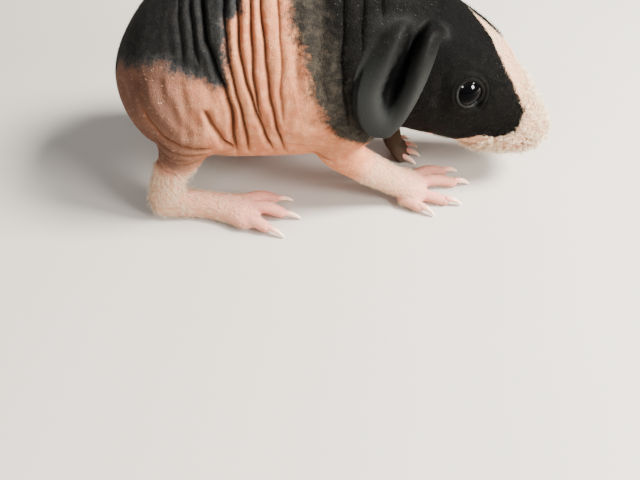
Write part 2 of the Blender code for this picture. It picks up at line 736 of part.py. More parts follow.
def flesh(collection):
    """Model the whole body without its ears, eyes and claws, as one closed skin."""
    level = (np.eye(3), np.zeros(3))
    pieces = [
        hull("flesh", TRUNK, TRUNK_RINGS, TRUNK_SIDES, TRUNK_ROUNDS, TRUNK_FULLNESS,
             level, collection),
        hull("skull", HEAD, HEAD_RINGS, HEAD_SIDES, HEAD_ROUNDS, HEAD_FULLNESS,
             head_frame(), collection),
        limb("forearm", RIGHT_FOREARM, RIGHT, collection),
        limb("forearm", LEFT_FOREARM, LEFT, collection),
    ]
    for side in (RIGHT, LEFT):
        pieces.append(limb("thigh", THIGH, side, collection))
        pieces.append(limb("hind_foot", HIND_FOOT, side, collection))
        pieces.append(limb("shoulder", SHOULDER, side, collection))
        pieces.append(eyelids(side, collection))
        for joints in HIND_TOES:
            stations = toe_stations(joints, HIND_TOE_RADIUS)
            pieces.append(limb("toe", stations, side, collection, TOE_SIDES, TOE_STEP))
    for side, toes in ((RIGHT, RIGHT_TOES), (LEFT, LEFT_TOES)):
        for joints in toes:
            stations = toe_stations(joints, FORE_TOE_RADIUS)
            pieces.append(limb("toe", stations, side, collection, TOE_SIDES, TOE_STEP))
    body = unite("flesh", pieces, collection)
    blend_skin(body)
    floor = box("below_floor", (0, 0, -20), (300, 200, 40), 0.0, collection)
    boolean(body, "DIFFERENCE", floor)
    keep_largest(body)
    return body


def leg_zone(name, stations, by, side, collection):
    """Return the space round a leg that is cut free of the trunk, swollen by a margin."""
    zone = limb(name, stations, side, collection, ZONE_SIDES, ZONE_STEP)
    swollen = grown(zone, name + "_zone", by, collection)
    discard(zone)
    return swollen


def foot_zone(name, spec, by, side, collection):
    """Return the box round a foot, whose one face is the cut, swollen by a margin."""
    centre, size, turn = spec
    place = (centre[0], side * centre[1], centre[2])
    return box(name, place, [length + 2 * by for length in size], turn, collection)


def split_off(body, name, zone, parts):
    """Cut a named part from the body by a zone, and leave a thin gap between them."""
    piece = copy_of(body, name, parts)
    boolean(piece, "INTERSECT", zone(0.0))
    keep_largest(piece)
    boolean(body, "DIFFERENCE", zone(GAP))
    keep_largest(body)
    return piece


def surface_of(obj):
    """Return a search tree of the object's surface."""
    mesh = obj.data
    points = [vertex.co.copy() for vertex in mesh.vertices]
    return BVHTree.FromPolygons(points, [list(face.vertices) for face in mesh.polygons])


def on_surface(tree, point, sink):
    """Return the nearest place on the surface to a place in millimetres, sunk inwards."""
    place, normal, _, _ = tree.find_nearest(Vector(point) * MM)
    return np.array(place) / MM - np.array(normal) * sink


def groove(name, tree, points, side, radius, sink, collection):
    """Return a round cutter that follows the surface through points of the head's frame."""
    table = np.array(points, float)
    knots = np.arange(len(table))
    at = np.linspace(0, knots[-1], GROOVE_SAMPLES * len(table))
    line = [on_surface(tree, in_head(point, side), sink) for point in smooth_curve(knots, table, at)]
    stations = [(*(place * (1, side, 1)), radius, radius) for place in line]
    return limb(name, stations, side, collection, GROOVE_SIDES, GROOVE_STEP)


def carve_face(head, tree, collection):
    """Cut the eye sockets, the nostrils, the split lip and the line of the mouth."""
    cutters = [
        groove("mouth", tree, MOUTH, RIGHT, MOUTH_RADIUS, MOUTH_SINK, collection),
        groove("mouth", tree, MOUTH, LEFT, MOUTH_RADIUS, MOUTH_SINK, collection),
        groove("lip", tree, LIP_SPLIT, LEFT, LIP_RADIUS, LIP_SINK, collection),
    ]
    for side in (RIGHT, LEFT):
        cutters.append(groove("nostril", tree, NOSTRIL, side, NOSTRIL_RADIUS, 0.0, collection))
        socket = sphere("socket", eye_axes(side)[0], EYE_RADIUS + GAP, EYE_SEGMENTS, collection)
        cutters.append(socket)
    boolean(head, "DIFFERENCE", *cutters)
    keep_largest(head)


def clear_slivers(obj):
    """Take out the slivers that the cuts left, where the mesh stays closed without them."""
    before = obj.data
    cleaned = before.copy()
    work = bmesh.new()
    work.from_mesh(cleaned)
    bmesh.ops.dissolve_degenerate(work, dist=SLIVER * MM, edges=work.edges)
    bmesh.ops.triangulate(work, faces=work.faces)
    closed = all(len(edge.link_faces) == 2 for edge in work.edges)
    work.to_mesh(cleaned)
    work.free()
    if closed:
        obj.data = cleaned
        cleaned = before
    bpy.data.meshes.remove(cleaned)


def cut_clear(obj, flesh_copy, collection):
    """Cut a piece back to a thin gap from the skin it grows from."""
    boolean(obj, "DIFFERENCE", grown(flesh_copy, "swollen", GAP, collection))
    keep_largest(obj)
    clear_slivers(obj)


def paint(parts):
    """Give every part its finish, told by the start of its name."""
    finishes = {key: material(key, *values) for key, values in FINISHES.items()}
    for obj in parts.objects:
        key = next(key for key in FINISHES if obj.name.startswith(key))
        obj.data.materials.clear()
        obj.data.materials.append(finishes[key])
        obj.data.shade_smooth()
        obj.data.set_sharp_from_angle(angle=SHARP_ANGLE)


def main():
    """Build every part of the animal."""
    clear_scene()
    parts = collection_named("skinny_pig")
    body = flesh(parts)
    whole = copy_of(body, "whole", parts)
    tree = surface_of(whole)

    for side in (RIGHT, LEFT):
        name = SIDE_NAME[side]
        cut_clear(ear(side, parts), whole, parts)
        sphere("eye_" + name, eye_axes(side)[0], EYE_RADIUS, EYE_SEGMENTS, parts)
        sole = HIND_FOOT_ZONE
        split_off(body, "hindfoot_" + name,
                  lambda by: foot_zone("cut", sole, by, side, parts), parts)
        paw = FORE_FOOT_ZONE[side]
        split_off(body, "forefoot_" + name,
                  lambda by: foot_zone("cut", paw, by, side, parts), parts)
        split_off(body, "hindleg_" + name,
                  lambda by: leg_zone("cut", THIGH_ZONE, by, side, parts), parts)
        arm = ARM_ZONE[side]
        split_off(body, "foreleg_" + name,
                  lambda by: leg_zone("cut", arm, by, side, parts), parts)
    head = split_off(body, "head", lambda by: foot_zone("cut", HEAD_ZONE, by, LEFT, parts), parts)
    split_off(body, "neck", lambda by: foot_zone("cut", NECK_ZONE, by, LEFT, parts), parts)
    body.name = "torso"
    carve_face(head, tree, parts)

    claws = (
        (RIGHT, RIGHT_TOES, "claw_fore_right", FORE_CLAW_LENGTH),
        (LEFT, LEFT_TOES, "claw_fore_left", FORE_CLAW_LENGTH),
        (RIGHT, HIND_TOES, "claw_hind_right", HIND_CLAW_LENGTH),
        (LEFT, HIND_TOES, "claw_hind_left", HIND_CLAW_LENGTH),
    )
    for side, toes, name, length in claws:
        for number, joints in enumerate(toes, 1):
            stations = claw_stations(joints, length)
            claw = limb(f"{name}_{number}", stations, side, parts, CLAW_SIDES, CLAW_STEP)
            cut_clear(claw, whole, parts)
    discard(whole)
    paint(parts)


main()
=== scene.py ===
"""Skinny pig pup: one skin, its coat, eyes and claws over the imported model, with camera and light.

Frame: metres, +X the way the animal faces, +Y its left side, +Z up, the floor at zero.
Shapes are worked out in millimetres and scaled to metres when they become meshes.
"""
from __future__ import annotations

import logging
import math
from contextlib import contextmanager
from dataclasses import dataclass, replace
from enum import Enum
from typing import Any, Callable, Iterator, Sequence, Union

import bmesh
import bpy
import numpy as np
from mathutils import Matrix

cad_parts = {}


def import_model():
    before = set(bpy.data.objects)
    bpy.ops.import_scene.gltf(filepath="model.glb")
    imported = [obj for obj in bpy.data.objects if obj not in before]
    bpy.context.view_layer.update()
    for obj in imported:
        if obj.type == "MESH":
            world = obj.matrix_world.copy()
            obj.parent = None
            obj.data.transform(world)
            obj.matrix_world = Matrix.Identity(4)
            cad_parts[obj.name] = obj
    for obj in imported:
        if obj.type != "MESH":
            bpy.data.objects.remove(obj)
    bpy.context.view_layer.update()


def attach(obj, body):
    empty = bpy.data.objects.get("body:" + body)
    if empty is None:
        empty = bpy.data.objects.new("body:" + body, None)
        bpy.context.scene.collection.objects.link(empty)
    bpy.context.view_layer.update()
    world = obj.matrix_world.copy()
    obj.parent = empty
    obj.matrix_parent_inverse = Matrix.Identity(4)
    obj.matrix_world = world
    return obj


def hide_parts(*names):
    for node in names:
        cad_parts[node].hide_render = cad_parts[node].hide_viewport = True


LOG = logging.getLogger("skinny_pig")
MM = 0.001
Array = np.ndarray
Faces = list[tuple[int, ...]]
Shape = tuple[Array, Faces]
Path = tuple[tuple[float, ...], ...]
Pair = tuple[float, float]
Place = tuple[float, float, float]
Colour = Place
Fields = dict[str, Array]
Object = bpy.types.Object
Mesh = bpy.types.Mesh
Material = bpy.types.Material
NOWHERE = -20.0
HIND_FRONT = -12.0


class Side(Enum):
    """The animal's own right and left, as the sign of Y."""

    RIGHT = -1
    LEFT = 1

    @property
    def word(self) -> str:
        """The side's name as nodes are called."""
        return self.name.lower()


def smooth_curve(knots: Array, values: Array, at: Array) -> Array:
    """Read a smooth curve through values at knots: cubic pieces with slopes from the neighbours.

    Args:
        knots: Rising places of the values.
        values: One row of numbers for each knot.
        at: Places to read.

    Returns:
        One row for each place.
    """
    values = np.asarray(values, float)
    knots = np.asarray(knots, float)
    slope = np.gradient(values, knots, axis=0)
    index = np.clip(np.searchsorted(knots, at, side="right") - 1, 0, len(knots) - 2)
    width = knots[index + 1] - knots[index]
    t = (at - knots[index]) / width
    if values.ndim > 1:
        t, width = t[:, None], width[:, None]
    start, end = values[index], values[index + 1]
    return (
        (2 * t**3 - 3 * t**2 + 1) * start
        + (t**3 - 2 * t**2 + t) * slope[index] * width
        + (3 * t**2 - 2 * t**3) * end
        + (t**3 - t**2) * slope[index + 1] * width
    )


def ease(value: Array, low: float, high: float) -> Array:
    """Rise smoothly from 0 at low to 1 at high: three t squared less two t cubed."""
    t = np.clip((value - low) / (high - low), 0.0, 1.0)
    return t * t * (3 - 2 * t)


def bell(value: Array, width: float) -> Array:
    """Return the bell curve: e to the minus square of value over width."""
    return np.exp(-((value / width) ** 2))


def unit(rows: Array) -> Array:
    """Return each row with its length brought to one."""
    return rows / np.linalg.norm(rows, axis=1)[:, None]


def groove(gap: Array, depth: float, width: float, roll: float, place: float,
           spread: float) -> Array:
    """Return how far points sink: a bell at a line, less the bell of the roll beside it."""
    return depth * bell(gap, width) - roll * bell(gap - place, spread)


def limit(path: Path, at: Array) -> Array:
    """Read a limit that is drawn as corners of place and value."""
    return np.interp(at, *np.asarray(path, float).T)


def mirrored(points: Array) -> Array:
    """Return the points with those on the right laid on the left."""
    return np.column_stack([points[:, 0], np.abs(points[:, 1]), points[:, 2]])


def end_rounding(distance: Array, length: float, rear: float, front: float) -> Array:
    """Return the share of the full section, a quarter circle over each end's rounding."""
    back = np.clip(distance / rear, 0.0, 1.0)
    ahead = np.clip((length - distance) / front, 0.0, 1.0)
    return np.sqrt(1 - (1 - back) ** 2) * np.sqrt(1 - (1 - ahead) ** 2)


def grid_faces(rows: int, columns: int, wrap: bool) -> Array:
    """Return the quads of a grid of points, joined round where wrap is set."""
    row = np.arange(rows - 1)[:, None] * columns
    column = np.arange(columns if wrap else columns - 1)[None, :]
    after = (column + 1) % columns
    quads = np.stack(
        [row + column, row + after, row + columns + after, row + columns + column], axis=-1
    )
    return quads.reshape(-1, 4)


def closed_loft(rings: Array) -> Shape:
    """Skin rings of points and close both ends with a pole at the end ring's mean.

    Args:
        rings: Points by ring and by side.

    Returns:
        Points and faces of the closed surface.
    """
    count, sides = rings.shape[:2]
    body = rings[1:-1].reshape(-1, 3)
    poles = np.array([rings[0].mean(axis=0), rings[-1].mean(axis=0)])
    first, last = len(body), len(body) + 1
    side = np.arange(sides)
    after = (side + 1) % sides
    end = (count - 3) * sides
    start_fan = np.stack([np.full(sides, first), after, side], axis=1)
    end_fan = np.stack([np.full(sides, last), end + side, end + after], axis=1)
    faces = grid_faces(count - 2, sides, True).tolist() + start_fan.tolist() + end_fan.tolist()
    return np.vstack([body, poles]), faces


def path_distance(points: Array, path: Path) -> tuple[Array, Array]:
    """Measure how far points are from a bent line, and how far along it their nearest place is.

    Args:
        points: One row of coordinates for each point.
        path: Corners of the line in the same coordinates.

    Returns:
        The distances, and the places along as a share of the whole from 0 to 1.
    """
    corners = np.asarray(path, float)
    lengths = np.linalg.norm(np.diff(corners, axis=0), axis=1)
    corners = corners[np.concatenate([[True], lengths > 0])]
    lengths = lengths[lengths > 0]
    before = np.concatenate([[0.0], np.cumsum(lengths)])
    best = np.full(len(points), np.inf)
    along = np.zeros(len(points))
    for start, end, length, passed in zip(corners[:-1], corners[1:], lengths, before):
        reach = end - start
        share = np.clip((points - start) @ reach / length**2, 0.0, 1.0)
        gap = np.linalg.norm(points - start - share[:, None] * reach, axis=1)
        nearer = gap < best
        best = np.where(nearer, gap, best)
        along = np.where(nearer, (passed + share * length) / before[-1], along)
    return best, along


def joined(shapes: Sequence[Shape]) -> Shape:
    """Put several shapes into one list of points and faces."""
    points = np.vstack([shape[0] for shape in shapes])
    faces: Faces = []
    offset = 0
    for part, part_faces in shapes:
        faces += [tuple(corner + offset for corner in face) for face in part_faces]
        offset += len(part)
    return points, faces


@contextmanager
def editing(mesh: Mesh) -> Iterator[bmesh.types.BMesh]:
    """Lend a copy of the mesh to be worked on, and write it back afterwards."""
    work = bmesh.new()
    work.from_mesh(mesh)
    yield work
    work.to_mesh(mesh)
    work.free()


def link(name: str, data: Any) -> Object:
    """Stand an object with its data in the scene."""
    obj = bpy.data.objects.new(name, data)
    bpy.context.scene.collection.objects.link(obj)
    return obj


def new_piece(name: str, shape: Shape, outwards: bool = True) -> Object:
    """Make a mesh object from a shape in millimetres, its faces turned outwards if asked."""
    mesh = bpy.data.meshes.new(name)
    mesh.from_pydata((shape[0] * MM).tolist(), [], shape[1])
    if outwards:
        with editing(mesh) as work:
            bmesh.ops.recalc_face_normals(work, faces=work.faces)
    mesh.shade_smooth()
    return link(name, mesh)


def read(items: Any, key: str, width: int = 3, kind: type = float) -> Array:
    """Return what each of a mesh's items keeps under a key, one row each."""
    flat = np.empty(len(items) * width, kind)
    items.foreach_get(key, flat)
    return flat.reshape(-1, width)


def read_points(mesh: Mesh) -> Array:
    """Return the mesh's points in millimetres, one row each."""
    return read(mesh.vertices, "co") / MM


def read_normals(mesh: Mesh) -> Array:
    """Return the normal at each of the mesh's points."""
    return read(mesh.vertex_normals, "vector")


def write_points(mesh: Mesh, points: Array) -> None:
    """Move the mesh's points to places given in millimetres."""
    mesh.vertices.foreach_set("co", (points * MM).ravel())
    mesh.update()


def store(mesh: Mesh, name: str, values: Array) -> None:
    """Keep one number for each point of the mesh under a name that materials can read."""
    layer = mesh.attributes.new(name, "FLOAT", "POINT")
    layer.data.foreach_set("value", np.asarray(values, np.float32))


def apply_modifiers(obj: Object) -> None:
    """Give the object the mesh that its modifiers make, and drop them."""
    depsgraph = bpy.context.evaluated_depsgraph_get()
    made = bpy.data.meshes.new_from_object(obj.evaluated_get(depsgraph))
    old = obj.data
    obj.modifiers.clear()
    obj.data = made
    bpy.data.meshes.remove(old)


# Body sizes


@dataclass(frozen=True)
class Limb:
    """An oval swept along a bent path with round ends.

    Attributes:
        stations: x, distance out, height, half width across and half depth, in millimetres.
        sides: Points round one section.
        step: Distance between sections.
    """

    stations: Path
    sides: int = 20
    step: float = 1.2

    def shape(self, side: Side) -> Shape:
        """Sweep the section along the path: centre plus out and up times cosine and sine."""
        table = np.asarray(self.stations, float)
        table = table * (1, side.value, 1, 1, 1)
        lengths = np.linalg.norm(np.diff(table[:, :3], axis=0), axis=1)
        knots = np.concatenate([[0.0], np.cumsum(lengths)])
        ramp = np.linspace(0, 1, max(int(knots[-1] / self.step), 8))
        at = knots[-1] * (ramp + (1 - np.cos(math.pi * ramp)) / 2) / 2
        line = smooth_curve(knots, table, at)
        centre, half, deep = line[:, :3], line[:, 3], line[:, 4]
        heading = unit(np.gradient(centre, at, axis=0))
        out = unit(np.array([0.0, 1.0, 0.0]) - heading * heading[:, 1:2])
        up = np.cross(heading, out)
        share = end_rounding(at, knots[-1], min(half[0], deep[0]), min(half[-1], deep[-1]))
        angle = np.linspace(0, 2 * math.pi, self.sides, endpoint=False)
        wide = np.cos(angle)[None, :] * (half * share)[:, None]
        tall = np.sin(angle)[None, :] * (deep * share)[:, None]
        rings = centre[:, None] + out[:, None] * wide[..., None] + up[:, None] * tall[..., None]
        return closed_loft(rings)


@dataclass(frozen=True)
class Hull:
    """Upright sections along an axis, each with its own top, bottom and width.

    Attributes:
        stations: Place along, top, bottom, half width and height of the widest line.
        rounds: Length of the rear and the front rounding.
        fullness: 2 is an oval section, more is squarer.
    """

    stations: Path
    rounds: Pair
    fullness: float
    rings: int = 90
    sides: int = 80

    def points(self) -> Array:
        """Loft the sections: width times cosine and height times sine, each to 2 over fullness."""
        table = np.asarray(self.stations, float)
        start, end = table[0, 0], table[-1, 0]
        ramp = np.linspace(0, 1, self.rings)
        along = start + (end - start) * ((1 - np.cos(math.pi * ramp)) / 2 + ramp) / 2
        top, bottom, half, middle = smooth_curve(table[:, 0], table[:, 1:], along).T
        share = end_rounding(along - start, end - start, *self.rounds)
        angle = np.linspace(0, 2 * math.pi, self.sides, endpoint=False)
        across = np.sign(np.cos(angle)) * np.abs(np.cos(angle)) ** (2 / self.fullness)
        rise = np.sign(np.sin(angle)) * np.abs(np.sin(angle)) ** (2 / self.fullness)
        reach = np.where(rise > 0, (top - middle)[:, None], (middle - bottom)[:, None])
        return np.stack(
            [
                np.repeat(along[:, None], self.sides, axis=1),
                across[None, :] * (half * share)[:, None],
                middle[:, None] + rise[None, :] * reach * share[:, None],
            ],
            axis=2,
        )


@dataclass(frozen=True)
class Trunk:
    """The trunk from the rump to the throat."""

    hull: Hull = Hull(
        stations=(
            (-71.5, 56, 25, 20, 39), (-64, 60, 21, 23, 38), (-56.5, 65, 19, 25.5, 37),
            (-41.5, 74.5, 16.5, 28, 37), (-21.5, 80, 16, 29, 38.5), (-1.5, 78.5, 17.5, 27.5, 40),
            (13.5, 74, 22, 23, 44), (24, 69, 26, 19, 46), (33, 63, 30, 14, 48),
        ),
        rounds=(15, 6), fullness=2.15,
    )

    def shape(self) -> Shape:
        """Return the trunk's closed surface."""
        return closed_loft(self.hull.points())


@dataclass(frozen=True)
class Head:
    """The head in a frame of its own: along the muzzle, out to the side, and up.

    Attributes:
        centre: Place between the eyes.
        pitch: How far the muzzle points down.
        eye_centre: Centre of the eyeball in the head's frame.
        eye_look: The way the eye looks in the head's frame.
    """

    centre: Place = (37.5, 0.0, 44.0)
    pitch: float = math.radians(43.0)
    hull: Hull = Hull(
        stations=(
            (-28, 9, -26, 18, -10), (-18, 11, -29, 20.6, -12), (-8, 12.6, -29, 20.8, -11.5),
            (0, 13.6, -26.5, 19.6, -9), (8, 13.2, -23.2, 17.6, -6.5), (18, 11, -19.2, 14.8, -5),
            (28, 8.3, -15.4, 12.2, -4), (36, 6.6, -9.8, 10.4, -1.6), (42.2, 5.4, -2.2, 8.6, 1.6),
        ),
        rounds=(8, 6), fullness=2.45,
    )
    eye_centre: Place = (-0.1, 14.8, -0.55)
    eye_look: Place = (0.16, 0.95, 0.29)
    eye_radius: float = 5.6

    def turn(self) -> Array:
        """Return the matrix whose columns are the muzzle's, side's and up directions."""
        lean, drop = math.cos(self.pitch), math.sin(self.pitch)
        return np.array([[lean, 0.0, drop], [0.0, 1.0, 0.0], [-drop, 0.0, lean]])

    def place(self, points: Any, side: Side = Side.LEFT) -> Array:
        """Carry places in the head's frame into the body's frame."""
        return (np.asarray(points, float) * (1, side.value, 1)) @ self.turn().T + self.centre

    def local(self, points: Array) -> Array:
        """Carry places in the body's frame into the head's frame."""
        return (points - np.asarray(self.centre)) @ self.turn()

    def shape(self) -> Shape:
        """Return the head's closed surface without ears and lids."""
        points = self.hull.points()
        return closed_loft(self.place(points.reshape(-1, 3)).reshape(points.shape))

    def eye_axes(self, side: Side) -> tuple[Array, Array, Array, Array]:
        """Return the eyeball's centre and its look, forward and upward directions."""
        turn = self.turn()
        look = turn @ (np.array(self.eye_look) * (1, side.value, 1))
        look /= np.linalg.norm(look)
        forward = turn @ np.array([1.0, 0.0, -0.12])
        forward -= look * (forward @ look)
        forward /= np.linalg.norm(forward)
        upward = np.cross(forward, look) * side.value
        return self.place(self.eye_centre, side), look, forward, upward

    def eye_local(self, points: Array, side: Side) -> Array:
        """Return points as distances forward, upward and outward from the eyeball's centre."""
        centre, look, forward, upward = self.eye_axes(side)
        return (points - centre) @ np.stack([forward, upward, look], axis=1)


@dataclass(frozen=True)
class Ear:
    """One drooping ear: a petal with thick margins round a deep cup.

    Attributes:
        root: Where the middle line leaves the head.
        bend: What the middle line bends towards.
        tip: Where the middle line ends.
        forward: The way the front margin lies, and root_forward the same at the root.
        cup_root: Place across and half width of the cup at the root, and cup_low further down.
        wave: Height of the ripple at the margins, and wave_turns how quickly it turns.
        batch: How many points are measured at once.

    Lengths are in millimetres; places across run from -1 to 1 and places down from 0 to 1.
    """

    root: Place = (21.6, 9.5, 63.4)
    bend: Place = (17.0, 28.0, 66.5)
    tip: Place = (13.5, 29.8, 36.5)
    half_width: float = 13.2
    root_half_width: float = 9.6
    widest: float = 0.58
    thick: float = 1.25
    dome: float = 2.4
    lobe: float = 1.3
    cup_depth: float = 4.7
    cup_root: Pair = (0.17, 0.15)
    cup_low: Pair = (-0.12, 0.30)
    cup_end: float = 0.66
    cup_closing: float = 0.30
    forward: Place = (0.95, -0.16, 0.26)
    root_forward: Place = (0.92, -0.10, -0.42)
    turned_by: float = 0.42
    front_share: float = 0.84
    front_tip_share: float = 0.62
    corner: float = 0.14
    corner_share: float = 0.75
    rim: float = 0.6
    lobe_place: float = 0.62
    lobe_width: float = 0.26
    wave: float = 0.25
    wave_turns: float = 9.0
    batch: int = 4000
    rows: int = 44
    columns: int = 56

    def faces(self) -> tuple[Array, Array, Array]:
        """Return the left ear's outer face, inner face and share of the cup by row and column.

        Across runs from the rear margin to the front one and down from the root to the tip.
        Each point is the middle line, plus the forward direction times half the width, plus
        the outward direction times the dome less the cup. The inner face lies behind by the
        thickness, which thins to the rim.
        """
        across = np.sin(np.linspace(-0.5, 0.5, self.columns) * math.pi)
        down = np.sin(np.linspace(0, 0.5, self.rows) * math.pi)
        root, bend, tip = (np.array(place) for place in (self.root, self.bend, self.tip))
        line = (
            ((1 - down) ** 2)[:, None] * root
            + (2 * down * (1 - down))[:, None] * bend
            + (down**2)[:, None] * tip
        )
        swell = np.sin(math.pi * np.clip(down, 0, self.widest) / (2 * self.widest))
        widening = self.root_half_width + (self.half_width - self.root_half_width) * swell
        closing = np.clip((down - self.widest) / (1 - self.widest), 0, 1)
        half = widening * np.sqrt(np.clip(1 - closing**2, 0.02, 1))
        front = self.front_share + (self.front_tip_share - self.front_share) * ease(down, 0.0, 1.0)
        front *= self.corner_share + (1 - self.corner_share) * ease(down, 0.0, self.corner)
        reach = half[:, None] * np.where(across > 0, across * front[:, None], across)
        turned = ease(down, 0.0, self.turned_by)[:, None]
        forward = unit(np.array(self.root_forward) * (1 - turned) + np.array(self.forward) * turned)
        face = unit(np.cross(unit(np.gradient(line, axis=0)), forward))
        face *= np.sign(face[:, 1:2])
        dome = self.dome * np.outer(np.sin(math.pi * (0.15 + 0.75 * down)), 1 - across**2)
        fade = 1 - ease(down, self.cup_end, self.cup_end + self.cup_closing)
        lower = np.clip(down / self.cup_end, 0, 1)[:, None]
        place, width = (
            root_value + (low_value - root_value) * lower
            for root_value, low_value in zip(self.cup_root, self.cup_low)
        )
        cup = fade[:, None] * bell((across - place) / width, 1.0)
        lobe = np.outer(fade, bell(across - self.lobe_place, self.lobe_width))
        wave = self.wave * np.outer(np.sin(self.wave_turns * down), across**2)
        height = dome + self.lobe * lobe - self.cup_depth * cup + wave
        outer = line[:, None] + forward[:, None] * reach[..., None]
        outer += face[:, None] * height[..., None]
        taper = self.rim + (1 - self.rim) * np.sqrt(1 - across**2)
        thick = self.thick * np.outer(1.0 + 0.8 * (1 - down) ** 2, taper)
        return outer, outer - face[:, None] * thick[..., None], cup

    def shape(self, side: Side) -> Shape:
        """Close the two faces along the margins, the root and the tip."""
        outer, inner = (face * (1, side.value, 1) for face in self.faces()[:2])
        back = self.rows * self.columns
        quads = grid_faces(self.rows, self.columns, False)
        index = np.arange(back).reshape(self.rows, self.columns)
        rim = np.concatenate([index[0], index[1:, -1], index[-1, -2::-1], index[-2:0:-1, 0]])
        after = np.roll(rim, -1)
        wall = np.stack([rim, after, back + after, back + rim], axis=1)
        faces = quads.tolist() + (back + quads[:, ::-1]).tolist() + wall.tolist()
        return np.vstack([outer.reshape(-1, 3), inner.reshape(-1, 3)]), faces

    def closeness(self, points: Array) -> tuple[Array, Array]:
        """Measure how much points belong to the ears.

        Returns:
            1 on the ears, falling to 0 four millimetres away, and the share of the cup there, which
            the skin paints as shade.
        """
        outer, inner, cup = self.faces()
        middle = ((outer + inner) / 2)[4:].reshape(-1, 3)
        cup = cup[4:].ravel()
        near, cup_shade = np.zeros(len(points)), np.zeros(len(points))
        probe = mirrored(points)
        low, high = middle.min(axis=0) - 5, middle.max(axis=0) + 5
        inside = np.flatnonzero(((probe > low) & (probe < high)).all(axis=1))
        for chunk in np.array_split(inside, max(len(inside) // self.batch, 1)):
            gap = (
                (probe[chunk] ** 2).sum(axis=1)[:, None]
                + (middle**2).sum(axis=1)[None, :]
                - 2 * probe[chunk] @ middle.T
            )
            near[chunk] = 1 - ease(np.sqrt(np.maximum(gap.min(axis=1), 0)), 1.2, 4.0)
            cup_shade[chunk] = cup[gap.argmin(axis=1)] * near[chunk]
        return near, cup_shade


@dataclass(frozen=True)
class Foot:
    """The toes and claws of one foot.

    Attributes:
        limb: fore or hind, as the claws are named.
        side: The body side it is on.
        toes: Root, knuckle and tip of each toe as x, distance out and height.
        radius: Half thickness of a toe.
        claw_length: How far a claw reaches past the toe's tip.
    """

    limb: str
    side: Side
    toes: tuple[Path, ...]
    radius: float
    claw_length: float
    claw_half: Pair = (1.0, 1.1)
    claw_heights: Place = (2.7, 2.2, 0.6)
    claw_inset: float = 1.8

    def toe_shapes(self) -> list[Shape]:
        """Sweep each toe from its root over the knuckle to the tip."""
        shares = (1.0, 0.92, 0.78)
        return [
            Limb(
                tuple((*place, self.radius * share, self.radius * share)
                      for place, share in zip(toe, shares)),
                sides=14,
                step=0.7,
            ).shape(self.side)
            for toe in self.toes
        ]

    def claw_limb(self, toe: Path) -> Limb:
        """Return the claw that leaves the toe's tip, bends over and thins to its point."""
        knuckle, tip = np.array(toe[1], float), np.array(toe[2], float)
        heading = (tip - knuckle) * (1, 1, 0)
        heading /= np.linalg.norm(heading)
        places = [
            tip - heading * self.claw_inset, tip + heading * self.claw_length * 0.42,
            tip + heading * self.claw_length,
        ]
        wide, deep = self.claw_half
        shares = ((1, 1), (0.78, 0.78), (0.28, 0.28))
        stations = tuple(
            (place[0], place[1], height, wide * share[0], deep * share[1])
            for place, height, share in zip(places, self.claw_heights, shares)
        )
        return Limb(stations, sides=16, step=0.22)


RIGHT_TOES: tuple[Path, ...] = (
    ((23, 11.6, 3.2), (31.6, 7.4, 3.8), (38.4, 5.4, 1.3)),
    ((24, 14.2, 3), (34, 11.8, 3.3), (41.6, 11.1, 1.1)),
    ((23, 17.6, 2.6), (31, 19.4, 2.7), (37.6, 20.6, 1)),
    ((20, 19.8, 2.6), (25, 22.6, 2.4), (28.4, 24.6, 1)),
)
LEFT_TOES: tuple[Path, ...] = (
    ((19.6, 4, 5.6), (21.8, 2.3, 2.8), (24.2, 1.3, 0.3)),
    ((20.2, 6, 5.6), (23, 5.2, 3), (26, 4.7, 0.3)),
    ((20, 8.2, 5.6), (22.8, 8.5, 3), (25.6, 8.8, 0.3)),
    ((19.2, 10, 5.2), (21.2, 11.4, 2.6), (23.2, 12.4, 0.3)),
)
HIND_TOES: tuple[Path, ...] = (
    ((-34, 23.4, 3.4), (-26.5, 21.4, 4.4), (-20.6, 20.2, 2)),
    ((-34, 26.4, 3.6), (-24.5, 26.8, 4.7), (-17.8, 27.4, 2)),
    ((-34, 29.2, 2.8), (-28, 32, 3.5), (-22.6, 34.5, 1.8)),
)
FEET: tuple[Foot, ...] = (
    Foot("fore", Side.RIGHT, RIGHT_TOES, 2.15, 4.2), Foot("fore", Side.LEFT, LEFT_TOES, 2.15, 4.2),
    Foot("hind", Side.RIGHT, HIND_TOES, 2.35, 5.0), Foot("hind", Side.LEFT, HIND_TOES, 2.35, 5.0),
)


